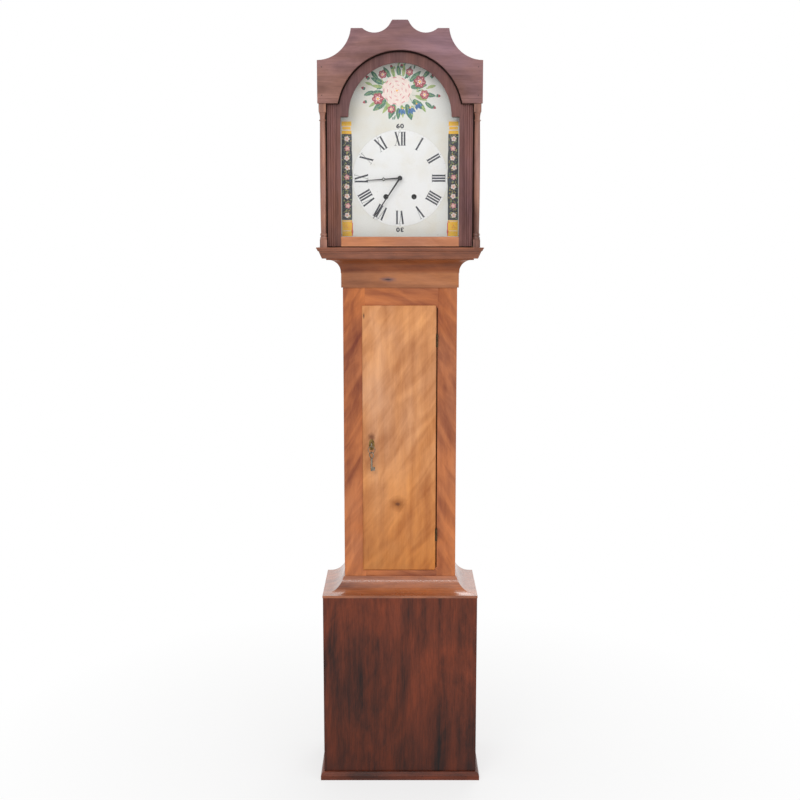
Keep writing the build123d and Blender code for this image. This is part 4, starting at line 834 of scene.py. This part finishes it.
# Each ring of the rose, from outside in: how many petals, how far out, how long and how wide
roseRings = ((9, 27, 24, 22), (8, 19, 20, 19), (6, 11, 16, 15), (4, 5, 10, 10))
for ring, (count, distance, length, width) in enumerate(roseRings):
    petals(roseMesh, roseX, roseZ, count, distance * mm, length * mm, width * mm, ring * 23,
           1.5 + ring * 1.1)
    edge = distance + length * 0.36
    for index in range(count):
        angle = ring * 23 + (index + 0.5) * 360 / count
        markX, markZ = polar(roseX, roseZ, (edge - 3) * mm, angle)
        dab(blushMesh, markX, markZ, length * 0.13 * mm, width * 0.5 * mm, angle, ring * 1.1 + 2.1)
dab(eyeMesh, roseX, roseZ, 5 * mm, 5 * mm, 0, 6.5)
for x, z, size in spray["blooms"]:
    petals(bloomMesh, x * mm, z * mm, 6, size * 0.55 * mm, size * 1.1 * mm, size * 0.92 * mm, x, 1.6)
    petals(blushMesh, x * mm, z * mm, 6, size * 0.62 * mm, size * 0.5 * mm, size * 0.2 * mm, x, 2.8)
    petals(roseMesh, x * mm, z * mm, 6, size * 0.3 * mm, size * 0.36 * mm, size * 0.22 * mm, x + 30, 2.8)
    dab(eyeMesh, x * mm, z * mm, size * 0.36 * mm, size * 0.36 * mm, 0, 3.8)
for x, z, size, angle in spray["buds"]:
    leaf(budMesh, x * mm, z * mm, size * 1.9 * mm, size * 1.3 * mm, angle, 0.6)
    leaf(leafMesh, x * mm, z * mm, size * 1.0 * mm, size * 1.0 * mm, angle + 24, 0.8)
    leaf(leafMesh, x * mm, z * mm, size * 1.0 * mm, size * 1.0 * mm, angle - 24, 0.8)
for x, z, size, angle in spray["bells"]:
    for lean in (-34, 0, 34):
        leaf(bellMesh, x * mm, z * mm, size * 1.7 * mm, size * 0.75 * mm, angle + lean, 1.2)
    dab(eyeMesh, x * mm, z * mm, size * 0.4 * mm, size * 0.4 * mm, 0, 2)
for name, mesh, paint in (("sprayLeaves", leafMesh, "leaf"), ("sprayPaleLeaves", paleLeafMesh, "leafPale"),
                          ("sprayBlooms", bloomMesh, "magenta"), ("sprayRose", roseMesh, "rose"),
                          ("sprayRoseEdges", blushMesh, "blush"), ("sprayBuds", budMesh, "magenta"),
                          ("sprayBells", bellMesh, "blue"), ("sprayEyes", eyeMesh, "yellow")):
    paintedPiece(name, mesh, paint)

# Painted side columns: dark flowered shafts between yellow capitals and bases
columnLook = {"inner": 123.5 * mm, "outer": 148.5 * mm, "shaft": (1495 * mm, 1711 * mm), "top": 1746 * mm,
              "low": 1453.5 * mm, "flowers": 9}
middle = (columnLook["inner"] + columnLook["outer"]) / 2
width = columnLook["outer"] - columnLook["inner"]
shaftMesh, capMesh, capWhite, redMesh = bmesh.new(), bmesh.new(), bmesh.new(), bmesh.new()
petalMesh, goldMesh, pinkMesh, sprigMesh = bmesh.new(), bmesh.new(), bmesh.new(), bmesh.new()
random.seed(5)
for side in (-1, 1):
    x = side * middle
    shaftLow, shaftHigh = columnLook["shaft"]
    bar(shaftMesh, x, (shaftLow + shaftHigh) / 2, width, shaftHigh - shaftLow)
    for index, bulge in enumerate((0.4, 0.8, 1.0, 0.8, 0.4)):
        bulgeZ = shaftLow + (index + 0.5) * (shaftHigh - shaftLow) / 5
        dab(shaftMesh, side * columnLook["inner"], bulgeZ, 5.0 * mm * bulge, 52 * mm, 0, -0.4)
    capHigh = columnLook["top"]
    for low, high, reach in ((shaftHigh, shaftHigh + 8 * mm, 1.0),
                             (shaftHigh + 11 * mm, shaftHigh + 18 * mm, 0.86),
                             (shaftHigh + 20 * mm, capHigh - 4 * mm, 1.0)):
        bar(capMesh, x, (low + high) / 2, width * reach, high - low, 0, 0)
    for z in (shaftHigh + 9.5 * mm, shaftHigh + 19 * mm, capHigh - 2 * mm):
        bar(capWhite, x, z, width, 2.0 * mm, 0, 0)
    baseLow = columnLook["low"]
    bar(capMesh, x, (baseLow + shaftLow) / 2, width, shaftLow - baseLow - 1 * mm, 0, 0)
    for z, reach in ((shaftLow - 3 * mm, 6 * mm), (baseLow + 14 * mm, 3 * mm)):
        bar(capWhite, x, z, width * 0.8, 1.3 * mm, 0, 1)
    petals(redMesh, x + side * 2 * mm, (baseLow + shaftLow) / 2 + 4 * mm, 3, 3 * mm, 5 * mm, 1.2 * mm, 90, 1)
    redX = side * (columnLook["inner"] - 1.2 * mm)
    bar(redMesh, redX, (baseLow + shaftLow) / 2 - 3 * mm, 2.2 * mm, shaftLow - baseLow - 8 * mm, 0, 0)
    dab(redMesh, side * (columnLook["inner"] + 1.5 * mm), shaftLow - 5 * mm, 8 * mm, 2.4 * mm, 0, 0.4)
    dab(redMesh, side * (columnLook["inner"] - 1 * mm), baseLow + 12 * mm, 5 * mm, 12 * mm, 0, 0.4)
    pitch = (shaftHigh - shaftLow) / columnLook["flowers"]
    for index in range(columnLook["flowers"]):
        z = shaftLow + (index + 0.5) * pitch
        flowerX = x + random.uniform(-2.4, 2.4) * mm
        turn = random.uniform(0, 72)
        target = pinkMesh if index % 3 == 1 else petalMesh
        petals(target, flowerX, z, 5, 3.8 * mm, 6.8 * mm, 6.0 * mm, turn, 1)
        other = pinkMesh if target is petalMesh else petalMesh
        petals(other, flowerX, z, 5, 2.0 * mm, 3.2 * mm, 1.6 * mm, turn, 2)
        dab(capMesh, flowerX, z, 2.2 * mm, 2.2 * mm, 0, 2.6)
        for mark in range(16):
            markAngle = random.uniform(0, 360)
            markX, markZ = polar(flowerX, z, random.uniform(7.5, 13) * mm, markAngle)
            if abs(markX - x) < width / 2 - 2 * mm and shaftLow + 3 * mm < markZ < shaftHigh - 3 * mm:
                leaf((goldMesh, sprigMesh)[mark % 2], markX, markZ, random.uniform(3.0, 5.4) * mm, 1.7 * mm,
                     random.uniform(0, 360), 0.7)
for name, mesh, paint in (("columnShafts", shaftMesh, "shaft"), ("columnCaps", capMesh, "yellow"),
                          ("columnLines", capWhite, "petal"), ("columnRed", redMesh, "red"),
                          ("columnPetals", petalMesh, "petal"), ("columnSprigs", goldMesh, "gold"),
                          ("columnPinks", pinkMesh, "blush"), ("columnLeaves", sprigMesh, "leafPale")):
    paintedPiece(name, mesh, paint)
print("dial painting done")


# Small fittings
def roundHeads(name, material, body, spots, look):
    # low heads with eased edges, let into a face that looks to the front
    mesh = bmesh.new()
    for spot in spots:
        made = bmesh.ops.create_cone(mesh, cap_ends=True, segments=20, radius1=look["radius"],
                                     radius2=look["radius"] * 0.82, depth=look["height"])
        bmesh.ops.transform(mesh, verts=made["verts"],
                            matrix=Matrix.Translation(spot) @ Matrix.Rotation(math.radians(90), 4, "X"))
    edges = [edge for edge in mesh.edges if edge.calc_face_angle(0) > 0.6]
    bmesh.ops.bevel(mesh, geom=edges, offset=look["height"] * 0.25, segments=2, profile=0.5, affect="EDGES",
                    material=-1)
    piece = newPiece(name, mesh, material)
    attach(piece, body)


pinLook = {"radius": 0.9 * mm, "height": 0.9 * mm, "inset": 2.6 * mm}
pins = [(plateX, plateLow.y, z) for z in (plateHigh.z - pinLook["inset"], plateLow.z + pinLook["inset"])]
roundHeads("escutcheonPins", fittingBrass, "trunk_door", pins, pinLook)

# Nail heads where the crest and the strips are fixed
nailLook = {"radius": 1.3 * mm, "height": 0.7 * mm, "crest": ((194, 1800), (194, 1868)),
            "strip": (-180, -62, 60, 178), "stripHeight": 10}
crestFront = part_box("crest_board")[0].y
nails = [(side * x * mm, crestFront, z * mm) for side in (-1, 1) for x, z in nailLook["crest"]]
roundHeads("crestNails", bluedSteel, "hood", nails, nailLook)
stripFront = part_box("base_plinth_strip")[0].y
nails = [(x * mm, stripFront, nailLook["stripHeight"] * mm) for x in nailLook["strip"]]
roundHeads("stripNails", bluedSteel, "case", nails, nailLook)

# Weight lines: two-ply gut, a flat section twisted along its length, in place of the plain runs
lineLook = {"radius": 0.8 * mm, "flat": 0.62, "pitch": 12 * mm, "cutsPerTurn": 6, "travel": 0.95}
gutMaterial, tree, surface = startMaterial("gutLine")
fibre = noise(tree, stretched(tree, objectVector(tree), (1, 1, 0.3)), 900, 3)
tree.links.new(mixColour(tree, fibre, linear(120, 98, 62), linear(190, 168, 122)),
               surface.inputs["Base Color"])
tree.links.new(ramp(tree, fibre, 0.3, 0.7, 0.5, 0.75), surface.inputs["Roughness"])
for side in ("going", "strike"):
    for run in ("rising", "fixed"):
        nodeName = f"{side}_line_{run}"
        low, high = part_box(nodeName)
        x, y = (low.x + high.x) / 2, (low.y + high.y) / 2
        length = high.z - low.z
        turns = length / lineLook["pitch"]
        mesh = bmesh.new()
        bmesh.ops.create_cone(mesh, cap_ends=True, segments=8, radius1=lineLook["radius"],
                              radius2=lineLook["radius"], depth=length)
        longEdges = [edge for edge in mesh.edges if edge.calc_length() > length / 2]
        bmesh.ops.subdivide_edges(mesh, edges=longEdges, cuts=int(turns * lineLook["cutsPerTurn"]))
        bmesh.ops.scale(mesh, vec=(1, lineLook["flat"], 1), verts=mesh.verts)
        for vert in mesh.verts:
            twist = Matrix.Rotation(math.tau * vert.co.z / lineLook["pitch"], 3, "Z")
            vert.co = twist @ vert.co + Vector((x, y, (low.z + high.z) / 2))
        piece = newPiece(nodeName + "_twist", mesh, gutMaterial)
        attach(piece, "case")
        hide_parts(nodeName)
        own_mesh(piece)
print("fittings and lines done")
